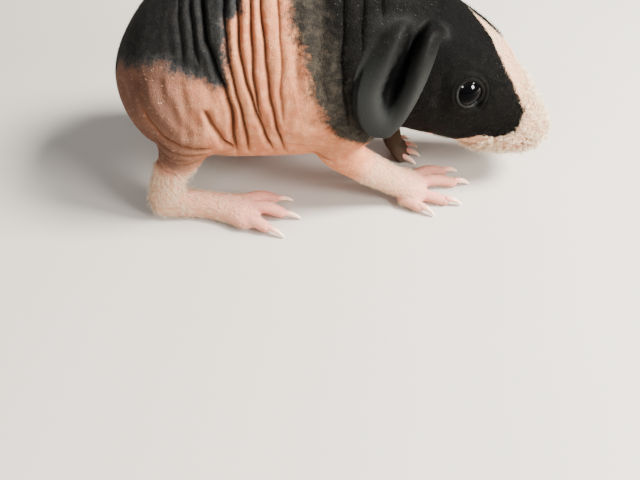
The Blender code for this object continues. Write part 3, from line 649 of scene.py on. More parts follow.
@dataclass(frozen=True)
class Legs:
    """Thighs, hind feet, shoulders and both forearms."""

    thigh: Limb = Limb(
        (
            (-52, 12, 56, 8, 10), (-47.5, 18.5, 44, 12, 17), (-46.5, 21.5, 35.5, 10.5, 16.8),
            (-48.9, 22.8, 28.5, 8.6, 8.8), (-50.6, 23.4, 24.2, 7.2, 6.9),
            (-53.8, 24, 19.2, 5.4, 5.3), (-56.2, 24.4, 12, 4.6, 5.2), (-58.2, 24.2, 6, 4, 4.4),
            (-57.6, 24.2, 1.4, 3.6, 3.8),
        ),
        sides=32,
    )
    hind_foot: Limb = Limb(
        (
            (-62.9, 23.8, 5, 3.9, 4.5), (-56, 24, 4.4, 4.3, 5.4), (-46, 24.4, 3.8, 4.2, 5),
            (-37, 25.6, 3.1, 5.4, 4.4), (-30, 26.8, 2.7, 7.4, 3.8), (-26, 27.4, 1.8, 6.2, 2.7),
        )
    )
    shoulder: Limb = Limb(
        ((7, 13, 55, 8, 9), (5, 19, 45, 9, 11.5), (1.5, 21, 35, 8, 10.5), (-1, 21.5, 27, 6.4, 7.5)),
        sides=32,
    )
    right_forearm: Limb = Limb(
        (
            (-6.5, 21.5, 30, 6, 6), (-0.5, 22, 25, 6, 6.2), (6, 20.6, 18.6, 5.4, 5.6),
            (12.5, 18.6, 12.6, 4.9, 5), (19, 17, 7.6, 5.2, 4.5), (25.5, 15.3, 3.6, 7, 3.9),
            (30, 14.6, 2.4, 6, 2.8),
        )
    )
    left_forearm: Limb = Limb(
        (
            (-6, 21.5, 31, 6, 6.2), (1, 20, 26.5, 5.8, 6.4), (8, 15.5, 22.5, 5, 5.4),
            (14, 11, 17.5, 4.3, 4.5), (18, 8.6, 11.5, 4.4, 3.9), (19.8, 7.2, 6, 4.8, 3.2),
            (20.8, 6.6, 2.2, 4.2, 2.4),
        )
    )

    def shapes(self) -> list[Shape]:
        """Return every part of the four legs down to the palms and soles."""
        pairs = (self.thigh, self.hind_foot, self.shoulder)
        shapes = [limb.shape(side) for limb in pairs for side in Side]
        return shapes + [self.right_forearm.shape(Side.RIGHT), self.left_forearm.shape(Side.LEFT)]


# Relief of the skin


@dataclass(frozen=True)
class Crease:
    """A crease pressed along a line seen from the side, with a roll on each side of it.

    Attributes:
        path: Corners as x and height.
        depth: How deep the crease is.
        reach: Distance from the crease to the crown of the roll beside it.
        soft: Whether it is a round valley without a sharp line.
    """

    path: Path
    depth: float
    reach: float = 2.1
    soft: bool = False

    def press(self, points: Array, sway: Array) -> tuple[Array, Array]:
        """Return how far each point sinks, and how much it lies inside the crease, which is its
        share of painted shade.

        Beside a sharp crease the skin rises to the roll's crown at the reach, by the square
        and the fourth power of what is left of the way; a soft one is a bell. Both fade out
        at the line's ends, and the line sways.
        """
        seen = points[:, [0, 2]] + np.stack([sway, np.zeros_like(sway)], axis=1)
        gap, along = path_distance(seen, self.path)
        ends = ease(along, 0.0, 0.14) * (1 - ease(along, 0.82, 1.0))
        left = 1 - np.clip(gap / self.reach, 0, 1)
        arc = 0.6 * left**2 + 0.4 * left**4
        # The second number is painted shade: faint in a soft valley, and in a sharp crease a dark
        # core at the line with soft shade over the roll's slope.
        if self.soft:
            return self.depth * bell(gap, self.reach) * ends, 0.12 * bell(gap, self.reach) * ends
        core = 0.55 * bell(gap, 0.42) + 0.5 * arc
        return self.depth * arc * ends, core * ends * min(self.depth, 1.6) / 1.6


FLANK_FOLDS: tuple[Crease, ...] = (
    Crease(((-46.8, 84), (-46.9, 72), (-46, 65), (-44.5, 56)), 0.7, 2),
    Crease(((-42.8, 84), (-42.8, 70.5), (-42.1, 64.5), (-40.4, 56)), 1.3, 2),
    Crease(
        (
            (-39.2, 86), (-39, 70.8), (-38.1, 63.8), (-36.1, 58.1), (-34, 52), (-32.4, 45.5),
            (-32, 38), (-31.7, 24),
        ),
        2.7, 2.3,
    ),
    Crease(
        ((-33.2, 86), (-32.7, 70), (-31.3, 56.5), (-30, 47.7), (-28.8, 39), (-27.6, 24)), 2, 1.9,
    ),
    Crease(
        ((-29.4, 86), (-29.4, 71.5), (-28.1, 59.4), (-26.3, 50.9), (-24.3, 41.3), (-20, 25)), 2,
        1.8,
    ),
    Crease(((-25.9, 86), (-25.8, 71.3), (-25, 58), (-24, 44.9), (-23.2, 38)), 1.6, 1.7),
    Crease(
        ((-22.9, 86), (-22.8, 71.9), (-21.1, 54), (-19.8, 45), (-18.2, 33), (-16.5, 24)), 1.8, 2,
    ),
    Crease(((-18, 84), (-17.4, 61.8), (-17.8, 51.1), (-16.6, 38)), 0.8, 2.1),
    Crease(((-13.6, 80), (-13.2, 62), (-13.6, 48)), 0.55, 1.8, True),
    Crease(((-24, 46), (-22, 38), (-16, 31), (-8, 28)), 0.6, 1.4, True),
)
LEG_FOLDS: tuple[Crease, ...] = (
    Crease(((-47.6, 55), (-45.6, 50.6), (-44.2, 46), (-41.5, 39)), 0.9, 2.2, True),
    Crease(((-53, 55), (-51.4, 50), (-48.4, 43.5), (-44, 36)), 0.8, 2.4, True),
    Crease(((-60, 53), (-58.2, 46.5), (-54.6, 41), (-48, 36)), 0.9, 2, True),
    Crease(((-66.5, 47), (-63.5, 42), (-60, 38.5)), 0.5, 1.8, True),
    Crease(
        ((-58.5, 47), (-56.4, 42), (-52.8, 37), (-48.2, 34), (-43.2, 32.3), (-37, 31.6)), 1.2, 2.6,
    ),
    Crease(
        ((-40, 46.6), (-38.8, 44), (-37.6, 41.2), (-36.5, 37.8), (-34.8, 33.4), (-31.8, 28.6)), 2.2,
        2.6,
    ),
    Crease(((-59.5, 37.5), (-54.8, 33.6), (-50.9, 31.2), (-45.7, 29.9), (-40, 29.6)), 0.8, 1.4),
    Crease(((-58.8, 32.4), (-54.7, 29.6), (-51.3, 28.4), (-46, 27.8)), 0.55, 1.2),
    Crease(((-56.5, 28.6), (-51.5, 26.4), (-46, 25.9), (-42, 26.4)), 0.5, 1.2),
    Crease(((-60, 24.8), (-55, 22.3), (-50, 20.7), (-45, 20.2), (-42, 20.8)), 1.3, 1.7),
    Crease(((-19, 36.5), (-12, 33.6), (-4, 32.6), (3, 31.5)), 0.6, 1.6, True),
    Crease(((-16, 31), (-9, 29.6), (-2, 29), (3, 27.4)), 0.6, 1.4, True),
    Crease(((-13, 42), (-7, 38), (0, 36.4)), 0.5, 1.6, True),
    Crease(((-12, 26.5), (-6, 26.3), (-1, 24.6)), 0.5, 1.3),
)
NECK_FOLDS: tuple[Crease, ...] = (
    Crease(((0.5, 80), (-0.2, 67.4), (-0.7, 59.1), (0.7, 47.8), (2.9, 36)), 1.1, 2.4),
    Crease(((6.2, 78), (5.6, 68), (5, 60), (6, 48)), 1, 2.2),
    Crease(((11.5, 78), (10.8, 68), (10.2, 60), (10.8, 44), (13, 32)), 1.1, 2.2),
    Crease(((-6, 78), (-6.4, 66), (-6, 56), (-4.5, 44)), 0.6, 2, True),
    Crease(((22, 38), (24, 33), (27, 28)), 0.6, 1.8, True),
    Crease(((29.5, 52), (28.6, 44), (31.5, 36), (38, 30)), 0.5, 1.8, True),
    Crease(((33, 56), (37, 55.5), (42, 52)), 0.35, 1.5, True),
)


@dataclass(frozen=True)
class Face:
    """Lids, nostrils, split lip and mouth, pressed into the skin of the head.

    Attributes:
        opening: Half length and half height of the opening between the lids.
        mouth: The mouth's line in the head's frame, one half.
        lip_split: The split under the nose.
        nostril: The nostril's comma.
        flesh: Middle of the pink lip that shows through the hair.
        snout_from: Place along the head where the muzzle's relief begins.
        grooves: Depth and width of mouth, split and nostril, then height, place and width of
            the roll beside each.
        point: How much longer the opening is at its inner corner.
        pad: Place of the inner corner's pad, forward and up from the eye's middle, and pad_size.
        sunk: How far the skin inside the opening lies behind the ball, and pad_rise how much
            less at the pad.
        lid_rise: How far the lids stand over the ball.
        lid_hold: Where the lids' hold on the skin begins to fade and where it ends.
        lid_rim: Ring of the rim: height, its change below, place in units of the opening, how
            far the ring closes in below, and width. The grey of the rim, lid_dark, heavier on
            the lower lid and partly painted highlight, and the rings of folds, lid_folds, are
            told the same way.
    """

    opening: Pair = (4.25, 3.8)
    mouth: Path = (
        (41, 0, -3.2), (39.4, 4.5, -2.3), (35.2, 8.6, -2.6), (30.2, 11, -4.2), (24.5, 12.2, -6.4),
    )
    lip_split: Path = ((42.8, 0, 2.6), (42.2, 0, 0), (41, 0, -3.2))
    nostril: Path = ((41.8, 2.4, 2.2), (41.2, 4, 3), (39.6, 5.4, 4.4))
    flesh: Place = (33.0, 8.6, -5.6)
    snout_from: float = 18.0
    grooves: Path = (
        (1.1, 0.55, 0.5, 1.8, 1), (0.7, 0.45, 0.25, 1.2, 0.7), (1.7, 0.75, 0.5, 1.8, 0.7),
    )
    point: float = 0.22
    pad: Pair = (4.5, -0.3)
    pad_size: float = 0.55
    pad_rise: float = 1.3
    sunk: float = 1.1
    lid_rise: float = 0.22
    lid_hold: Pair = (1.18, 2.0)
    lid_rim: tuple[float, ...] = (0.30, -0.16, 1.16, 0.05, 0.13)
    lid_dark: tuple[float, ...] = (0.25, 0.75, 1.08, 0.0, 0.09)
    lid_folds: Path = (
        (-0.32, 0, 1.36, 0.06, 0.08), (0.12, 0, 1.54, 0.06, 0.10), (-0.26, 0.14, 1.80, 0.10, 0.09),
    )

    def on_surface(self, head: Head, points: Array) -> "Face":
        """Return the face with its mouth, split and nostrils moved to the nearest skin."""
        near = mirrored(head.local(points))
        near = near[near[:, 0] > self.snout_from]

        def snap(path: Path) -> Path:
            knots = np.arange(len(path))
            line = smooth_curve(knots, path, np.linspace(0, knots[-1], 5 * len(path)))
            gap = ((line[:, None] - near[None]) ** 2).sum(axis=2)
            return tuple(tuple(place) for place in near[gap.argmin(axis=1)])

        return replace(self, mouth=snap(self.mouth), lip_split=snap(self.lip_split),
                       nostril=snap(self.nostril))

    @staticmethod
    def ring(rho: Array, lower: Array, shape: tuple[float, ...]) -> Array:
        """Return a ring round the lids: a bell of rho that changes with the share of below."""
        height, change, place, shift, width = shape
        return (height + change * lower) * bell(rho - place + shift * lower, width)

    def lids(self, head: Head, points: Array, side: Side) -> tuple[Array, Array, Array]:
        """Shape both lids round the eyeball.

        With rho as the oval distance in units of the opening, points with rho under 1 sink
        behind the ball, the rim at rho 1 stands over the ball by the lid's thickness, and
        waves of rho make two rings of folds that fade out.

        Returns:
            The move of each point, how much it is lid rim, and how much it is the inner corner.
        """
        look = head.eye_axes(side)[1]
        forward, upward, out = head.eye_local(points, side).T
        length, height = self.opening
        pointed = 1 + self.point * ease(forward, 0.0, length) * bell(upward + 0.3, 1.5)
        lower = ease(-upward, -2.8, 2.8)
        height = height * (1 - 0.10 * ease(upward, -1.0, 2.0))
        rho = np.hypot(forward / (length * pointed), upward / height)
        near = (rho < 3.0) & (out > 0)
        scale = 1 / np.maximum(rho, 1e-6)
        edge = np.minimum(1.0, scale)
        over = np.hypot(forward * edge, upward * edge)
        ball = np.sqrt(np.maximum(head.eye_radius**2 - over**2, 6.0))
        pad = bell(np.hypot(forward - self.pad[0], upward - self.pad[1]), self.pad_size)
        inside = np.minimum(out, ball - self.sunk + self.pad_rise * pad)
        rim = ball + self.lid_rise + self.ring(rho, lower, self.lid_rim)
        shell = ease(rho, 0.93, 1.0)
        target = inside * (1 - shell) + rim * shell
        hold = 1 - ease(rho, *self.lid_hold)
        below = 0.35 + 0.65 * ease(np.abs(upward + 0.4 * forward), 1.5, 5.0)
        waves = below * sum(self.ring(rho, lower, fold) for fold in self.lid_folds)
        move = np.where(near, hold * (target - out) + waves, 0.0)
        # rim_share: the rim's grey, heavier on the lower lid, partly its own grey and partly painted
        # highlight
        rim_share = np.where(near, self.ring(rho, lower, self.lid_dark), 0.0)
        return move[:, None] * look, rim_share, np.where(near, pad, 0.0)

    def muzzle(self, head: Head, points: Array) -> tuple[Array, Array]:
        """Return how far points sink at the mouth, split lip and nostrils, and how much they do."""
        local = mirrored(head.local(points))
        near = local[:, 0] > self.snout_from
        lines = (self.mouth, self.lip_split, self.nostril)
        (mouth, along), (split, _), (hole, _) = (path_distance(local, line) for line in lines)
        fade = 1 - ease(along, 0.8, 1.0)
        sink = fade * groove(mouth, *self.grooves[0])
        sink += groove(split, *self.grooves[1])
        sink += groove(hole, *self.grooves[2])
        flesh = 0.75 * bell(np.linalg.norm(local - self.flesh, axis=1), 3.4)
        inner = np.clip(fade * bell(mouth, 0.8) + bell(split, 0.6) + bell(hole, 1.0) + flesh, 0, 1)
        return np.where(near, sink, 0.0), np.where(near, inner, 0.0)


# Markings


@dataclass(frozen=True)
class Markings:
    """Where each colour lies, as distances in millimetres that are positive inside it.

    A distance of NOWHERE keeps a colour off, and no hind foot reaches past HIND_FRONT.

    Attributes:
        yoke: Rear limit of the taupe and black on the right: height and x.
        saddle: Lower limit of the dark rump on the right: x and height.
        saddle_front: Front limit of the dark rump: height and x.
        blaze_near: Near edge of the blaze: place along the muzzle and distance out.
        blaze_far: Far edge of the blaze.
        patch_front: Front limit of the dark cheek: height above the eye line and place along.
        hind_fur_top: Height that the hair of the hind feet reaches.
    """

    yoke: Path = (
        (20, 30), (27, 18), (30, 9), (33.6, 3.1), (36.4, -2.3), (41.5, -6.2),
        (45.4, -7.1), (49, -9.3), (57.5, -10.9), (62.8, -11.8), (68.1, -14.6), (74, -15.6),
    )
    saddle: Path = (
        (-75, 40), (-70, 46), (-67, 50), (-64, 50.8), (-58, 53.6), (-52.8, 55.8),
        (-49.5, 55.6), (-46, 55), (-44.4, 53.4), (-40.2, 53), (-35.1, 51.2), (-32, 50),
    )
    saddle_front: Path = ((50, -32.4), (60, -31.4), (68.3, -31), (70.3, -27), (80, -26.6))
    blaze_near: Path = (
        (-12, 5.5), (-9.2, 2.6), (-3.9, -3.6), (1.2, -9), (7, -11), (16, -10.8),
        (24.7, -10.2), (30, -16),
    )
    blaze_far: Path = (
        (-12, 2), (-9.2, 3), (-3.9, 1.6), (1.2, 0.8), (5, 2), (10, 7),
        (16, 10), (24.7, 10.2), (30, 16),
    )
    patch_front: Path = (
        (-24, 15), (-14, 16), (-9, 18.2), (-6.3, 24), (-0.9, 27.8), (3, 26.8), (9, 25),
    )
    hind_fur_top: float = 22.8

    def fields(self, head: Head, points: Array) -> Fields:
        """Work out every colour's distance at each point.

        Args:
            head: The head whose frame the face's markings use.
            points: Places in millimetres.

        Returns:
            yoke, rump, blaze, foot, toe and brown by name.
        """
        x, y, z = points.T
        left = ease(y, -6.0, 6.0)
        yoke = x - limit(self.yoke, z) + 4.0 * left
        lower = limit(self.saddle, x) - 9.0 * left
        lower -= 20.0 * ease(-x, 60.0, 69.0) * (1 - ease(np.abs(y), 3.0, 11.0))
        rump = np.minimum(z - lower, limit(self.saddle_front, z) + 4.0 * left - x)
        along, out, up = head.local(points).T
        top = np.minimum(out - limit(self.blaze_near, along), limit(self.blaze_far, along) - out)
        top = np.minimum(top, ease(up, -2.0, 3.0) * 20 - 8)
        blaze = np.maximum(top, along - limit(self.patch_front, up))
        on_head = ease(x, 24.0, 30.0) * ease(z, 9.0, 11.0)
        blaze = blaze * on_head + NOWHERE * (1 - on_head)
        hind = np.where(x < HIND_FRONT, self.hind_fur_top - z, NOWHERE)
        right = np.where((x > HIND_FRONT) & (y < -1), 0.75 * x - 0.65 * z + 7.0, NOWHERE)
        foot = np.maximum(hind, np.where(z < 26, right, NOWHERE))
        foot = np.where((x > 30) & (z > 9), NOWHERE, foot)
        toe = np.where(x < HIND_FRONT, x + 33.0, np.where(y < 0, x - 25.0, 4.0 - z))
        # brown on the left forearm and paw: partly its own darker skin, partly painted shade under
        # the head
        brown = np.where((y > -0.5) & (x > 2) & (x < 30), 26.0 - z, NOWHERE)
        return {"yoke": yoke, "rump": rump, "blaze": blaze, "foot": foot, "toe": toe,
                "brown": np.clip(brown, NOWHERE, -NOWHERE)}


# The skin


@dataclass(frozen=True)
class Skin:
    """One skin over the whole body, melted from its parts, folded, creased and marked.

    Attributes:
        voxel: Cell size of the melt.
        triangles: Triangles kept of the finished skin.
        melt_steps: Rounds of smoothing everywhere, on the trunk alone and at the ears' roots.
        grades: Steps that the smoothing's weights are rounded to.
        replaced: Nodes that the skin stands for.
    """

    head: Head = Head()
    trunk: Trunk = Trunk()
    legs: Legs = Legs()
    ear: Ear = Ear()
    face: Face = Face()
    markings: Markings = Markings()
    voxel: float = 0.45
    triangles: int = 192000
    melt_steps: tuple[int, int, int] = (8, 110, 60)
    grades: int = 20
    replaced: tuple[str, ...] = (
        "torso", "neck", "head", "ear_right", "ear_left", "foreleg_right", "foreleg_left",
        "forefoot_right", "forefoot_left", "hindleg_right", "hindleg_left", "hindfoot_right",
        "hindfoot_left",
    )

    def melt(self) -> Object:
        """Join every part, remesh them as one and smooth the joins, ears kept crisp."""
        shapes = [self.trunk.shape(), self.head.shape(), *self.legs.shapes()]
        shapes += [shape for foot in FEET for shape in foot.toe_shapes()]
        shapes += [self.ear.shape(side) for side in Side]
        obj = new_piece("skin", joined(shapes))
        remesh = obj.modifiers.new("Melt", "REMESH")
        remesh.mode = "VOXEL"
        remesh.voxel_size = self.voxel * MM
        apply_modifiers(obj)
        points = read_points(obj.data)
        x, _, z = points.T
        apart = 1 - self.ear.closeness(points)[0]
        trunk = np.clip((z - 20.0) / 8.0, 0, 1) * np.clip((30.0 - x) / 14.0, 0, 1) * apart
        from_root = np.linalg.norm(mirrored(points) - self.ear.root, axis=1)
        weights = {"all": 0.35 + 0.65 * apart, "trunk": trunk, "ear_root": bell(from_root, 10.0)}
        for name, steps in zip(weights, self.melt_steps):
            group = obj.vertex_groups.new(name=name)
            levels = np.round(weights[name] * self.grades).astype(int)
            for level in range(1, self.grades + 1):
                group.add(np.flatnonzero(levels == level).tolist(), level / self.grades, "REPLACE")
            smooth = obj.modifiers.new("Smooth", "SMOOTH")
            smooth.factor = 0.5
            smooth.iterations = steps
            smooth.vertex_group = name
        apply_modifiers(obj)
        obj.vertex_groups.clear()
        return obj

    def creased(self, points: Array) -> tuple[Array, Array]:
        """Return how far the folds sink each point, and how much it lies inside one, which is its
        share of painted shade.

        The folds' lines sway by two sine waves of the place seen from the side. They are
        shallow over the back and stop short of the ears.
        """
        x, y, z = points.T
        sway = 0.3 * np.sin(0.19 * z + 0.3 * x + 0.9 * np.sign(y))
        sway = sway + 0.12 * np.sin(0.55 * z - 0.6 * x)
        sink, inside = np.zeros(len(points)), np.zeros(len(points))
        for crease in FLANK_FOLDS + LEG_FOLDS + NECK_FOLDS:
            depth, within = crease.press(points, sway)
            sink = sink + depth if crease.soft else np.maximum(sink, depth)
            inside = np.maximum(inside, within)
        kept = (0.4 + 0.6 * ease(np.abs(y), 2.0, 16.0)) * (1 - self.ear.closeness(points)[0])
        return sink * kept, inside * kept

    def fold(self, obj: Object) -> None:
        """Press the folds of the flank, legs and neck, with a fine crinkle between them."""
        self.refine(obj, self.creased(read_points(obj.data))[1] > 0.04)
        points, normals = read_points(obj.data), read_normals(obj.data)
        x, y, z = points.T
        crinkle = np.sin(1.9 * x + 0.5 * np.sin(0.35 * z) + 1.3 * np.sin(0.11 * z * y / 10))
        band = ease(x, -56.0, -46.0) * (1 - ease(x, -14.0, -2.0)) * ease(z, 24.0, 34.0)
        sink = self.creased(points)[0] + 0.08 * crinkle * band
        write_points(obj.data, points - normals * sink[:, None])

    def finest(self, points: Array) -> Array:
        """Tell which points lie round the eyes and on the muzzle, where the relief is finest."""
        fine = self.head.local(points)[:, 0] > 33.0
        for side in Side:
            forward, upward, out = self.head.eye_local(points, side).T
            fine |= (np.hypot(forward, upward) < 12.0) & (out > 0)
        return fine

    def refine(self, obj: Object, fine: Array) -> None:
        """Split every edge whose two ends are both chosen."""
        chosen = set(np.flatnonzero(fine).tolist())
        with editing(obj.data) as work:
            edges = [edge for edge in work.edges
                     if all(corner.index in chosen for corner in edge.verts)]
            bmesh.ops.subdivide_edges(work, edges=edges, cuts=1, use_grid_fill=True)

    def carve(self, obj: Object, face: Face) -> None:
        """Shape the lids, the mouth, the split lip and the nostrils."""
        points, normals = read_points(obj.data), read_normals(obj.data)
        sink, _ = face.muzzle(self.head, points)
        moved = points - normals * sink[:, None]
        for side in Side:
            moved += face.lids(self.head, points, side)[0]
        moved[:, 2] = np.maximum(moved[:, 2], 0.0)
        write_points(obj.data, moved)

    def mark(self, obj: Object, face: Face) -> None:
        """Store where the colours, lids, lips and ears lie, and the painted shade of the creases and
        the ears' cups.
        """
        mesh = obj.data
        points = read_points(mesh)
        for name, values in self.markings.fields(self.head, points).items():
            store(mesh, name, values)
        # painted shade in the creases
        store(mesh, "crease", self.creased(points)[1])
        # cup_shade: painted shade in the ears' cups
        near, cup_shade = self.ear.closeness(points)
        store(mesh, "ear", near)
        store(mesh, "cup_shade", cup_shade)
        store(mesh, "lips", face.muzzle(self.head, points)[1])
        lids = [face.lids(self.head, points, side) for side in Side]
        store(mesh, "lid", lids[0][1] + lids[1][1])
        store(mesh, "corner", lids[0][2] + lids[1][2])

    def build(self) -> Object:
        """Make, fold, thin and mark the skin, and let it stand for the nodes of flesh."""
        obj = self.melt()
        LOG.info("skin melted: %d faces", len(obj.data.polygons))
        self.fold(obj)
        self.refine(obj, self.finest(read_points(obj.data)))
        face = self.face.on_surface(self.head, read_points(obj.data))
        self.carve(obj, face)
        thin = obj.modifiers.new("Thin", "DECIMATE")
        count = sum(len(polygon.vertices) - 2 for polygon in obj.data.polygons)
        thin.ratio = min(1.0, self.triangles / count)
        thin.use_collapse_triangulate = True
        apply_modifiers(obj)
        self.mark(obj, face)
        obj.data.shade_smooth()
        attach(obj, "root")
        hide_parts(*self.replaced)
        obj.data.materials.clear()
        obj.data.materials.append(SkinFinish().material())
        LOG.info("skin: %d triangles", len(obj.data.polygons))
        return obj


# Materials

Number = Union[float, "Signal"]
Tint = Union[Colour, "Signal"]


class Signal:
    """A value on its way through a material: arithmetic on it adds Math nodes."""

    def __init__(self, paint: "Paint", socket: bpy.types.NodeSocket) -> None:
        """Keep the material that the value belongs to and the socket that it leaves."""
        self.paint = paint
        self.socket = socket

    def _math(self, operation: str, first: Number, second: Number) -> "Signal":
        """Return the operation's result on two numbers."""
        return self.paint.node("Math", {"operation": operation}, {0: first, 1: second})

    def __add__(self, other: Number) -> "Signal":
        """Return the sum."""
        return self._math("ADD", self, other)

    def __sub__(self, other: Number) -> "Signal":
        """Return the difference."""
        return self._math("SUBTRACT", self, other)

    def __mul__(self, other: Number) -> "Signal":
        """Return the product."""
        return self._math("MULTIPLY", self, other)

    def __rsub__(self, other: Number) -> "Signal":
        """Return the difference the other way round."""
        return self._math("SUBTRACT", other, self)

    __radd__ = __add__
    __rmul__ = __mul__


def srgb(red: int, green: int, blue: int) -> Colour:
    """Turn a colour as seen, 0 to 255, into linear light: the part over 0.04045 to the 2.4."""
    def linear(part: float) -> float:
        return part / 12.92 if part <= 0.04045 else ((part + 0.055) / 1.055) ** 2.4

    return linear(red / 255), linear(green / 255), linear(blue / 255)


class Paint:
    """A material in the making, whose nodes come from one method."""

    def __init__(self, name: str, constants: dict[str, float]) -> None:
        """Start a Principled material with the sockets that are the same all over.

        Args:
            name: The material's name.
            constants: Values of the shader's sockets by socket name.
        """
        self.material = bpy.data.materials.new(name)
        self.material.use_nodes = True
        self.tree = self.material.node_tree
        self.shader = self.tree.nodes["Principled BSDF"]
        for socket, value in constants.items():
            self.shader.inputs[socket].default_value = value

    def node(self, kind: str, settings: dict[str, Any], inputs: dict[Any, Any],
             output: Any = 0) -> Signal:
        """Add a node, set it up first, then give its sockets their values or links.

        Args:
            kind: The node's type without its first word.
            settings: Its properties by name.
            inputs: Values or signals by socket name or index.
            output: The socket that the result leaves by.

        Returns:
            The node's result.
        """
        made = self.tree.nodes.new(f"ShaderNode{kind}")
        for name, value in settings.items():
            setattr(made, name, value)
        for socket, value in inputs.items():
            if isinstance(value, Signal):
                self.tree.links.new(value.socket, made.inputs[socket])
            elif isinstance(value, tuple) and made.inputs[socket].type == "RGBA":
                made.inputs[socket].default_value = (*value, 1.0)
            else:
                made.inputs[socket].default_value = value
        return Signal(self, made.outputs[output])

    def here(self) -> Signal:
        """Return the place on the object."""
        return self.node("TexCoord", {}, {}, "Object")

    def stretched(self, place: Signal, share: Colour) -> Signal:
        """Return a place multiplied along each axis."""
        return self.node("VectorMath", {"operation": "MULTIPLY"}, {0: place, 1: share})

    def axis(self, place: Signal, name: str) -> Signal:
        """Return a place's distance along one axis in metres."""
        return self.node("SeparateXYZ", {}, {0: place}, name)

    def attribute(self, name: str) -> Signal:
        """Return a number stored on the mesh."""
        return self.node("Attribute", {"attribute_name": name}, {}, "Fac")

    def noise(self, place: Signal, size: float, detail: float = 3.0, rough: float = 0.55) -> Signal:
        """Return soft noise, 0 to 1, whose blots are size millimetres across."""
        return self.node(
            "TexNoise", {},
            {"Vector": place, "Scale": 1 / (size * MM), "Detail": detail, "Roughness": rough},
        )

    def cells(self, place: Signal, size: float, feature: str = "F1",
              output: str = "Distance") -> Signal:
        """Return a cell pattern whose cells are size millimetres across."""
        return self.node(
            "TexVoronoi", {"feature": feature}, {"Vector": place, "Scale": 1 / (size * MM)}, output,
        )

    def band(self, value: Signal, low: float, high: float, start: float = 0.0,
             end: float = 1.0) -> Signal:
        """Turn low to high into start to end, smoothly and without passing them."""
        return self.node(
            "MapRange", {"interpolation_type": "SMOOTHSTEP"},
            {"Value": value, "From Min": low, "From Max": high, "To Min": start, "To Max": end},
        )

    def mix(self, share: Number, first: Tint, second: Tint) -> Signal:
        """Blend two colours by a share."""
        return self.node("Mix", {"data_type": "RGBA"}, {0: share, 6: first, 7: second}, 2)

    def over(self, base: Tint, *layers: tuple[Number, Tint]) -> Signal:
        """Lay colours over the base one after another, each by its share."""
        for share, colour in layers:
            base = self.mix(share, base, colour)
        return base

    def bump(self, height: Signal, distance: float, strength: float = 1.0,
             under: Union[Signal, None] = None) -> Signal:
        """Turn a height into a normal; distance is the height of 1 in millimetres."""
        inputs = {"Height": height, "Distance": distance * MM, "Strength": strength}
        if under is not None:
            inputs["Normal"] = under
        return self.node("Bump", {}, inputs)

    def feed(self, socket: str, value: Signal) -> None:
        """Link a result to one of the shader's sockets."""
        self.tree.links.new(value.socket, self.shader.inputs[socket])


@dataclass(frozen=True)
class Markers:
    """The masks that skin and coat share, each from a stored distance and the same noise.

    Attributes:
        paint: The material that they are for.
        edges: Name, stored distance, shares of the coarse and the fine noise, and the
            distances from which the colour begins and is full.
    """

    paint: Paint
    edges: tuple[tuple[str, str, float, float, float, float], ...] = (
        ("taupe", "yoke", 6.0, 6.0, -3.0, 2.4), ("black", "yoke", 9.0, 4.0, 4.0, 13.0),
        ("rump", "rump", 5.0, 5.0, -1.5, 2.2), ("rump_edge", "rump", 6.0, 6.0, 0.6, 4.5),
        ("cream", "blaze", 1.6, 2.2, -0.5, 0.8), ("white", "foot", 5.0, 3.0, -3.5, 4.0),
    )

    def masks(self, place: Signal) -> dict[str, Signal]:
        """Return taupe, black, rump, cream and white by name, 0 outside and 1 inside."""
        paint = self.paint
        blot = paint.noise(place, 4.2, 4.0, 0.6) - 0.5
        grain = paint.noise(place, 1.1, 3.0, 0.6) - 0.5
        return {
            name: paint.band(paint.attribute(field) + (blot * coarse + grain * fine), low, high)
            for name, field, coarse, fine, low, high in self.edges
        }


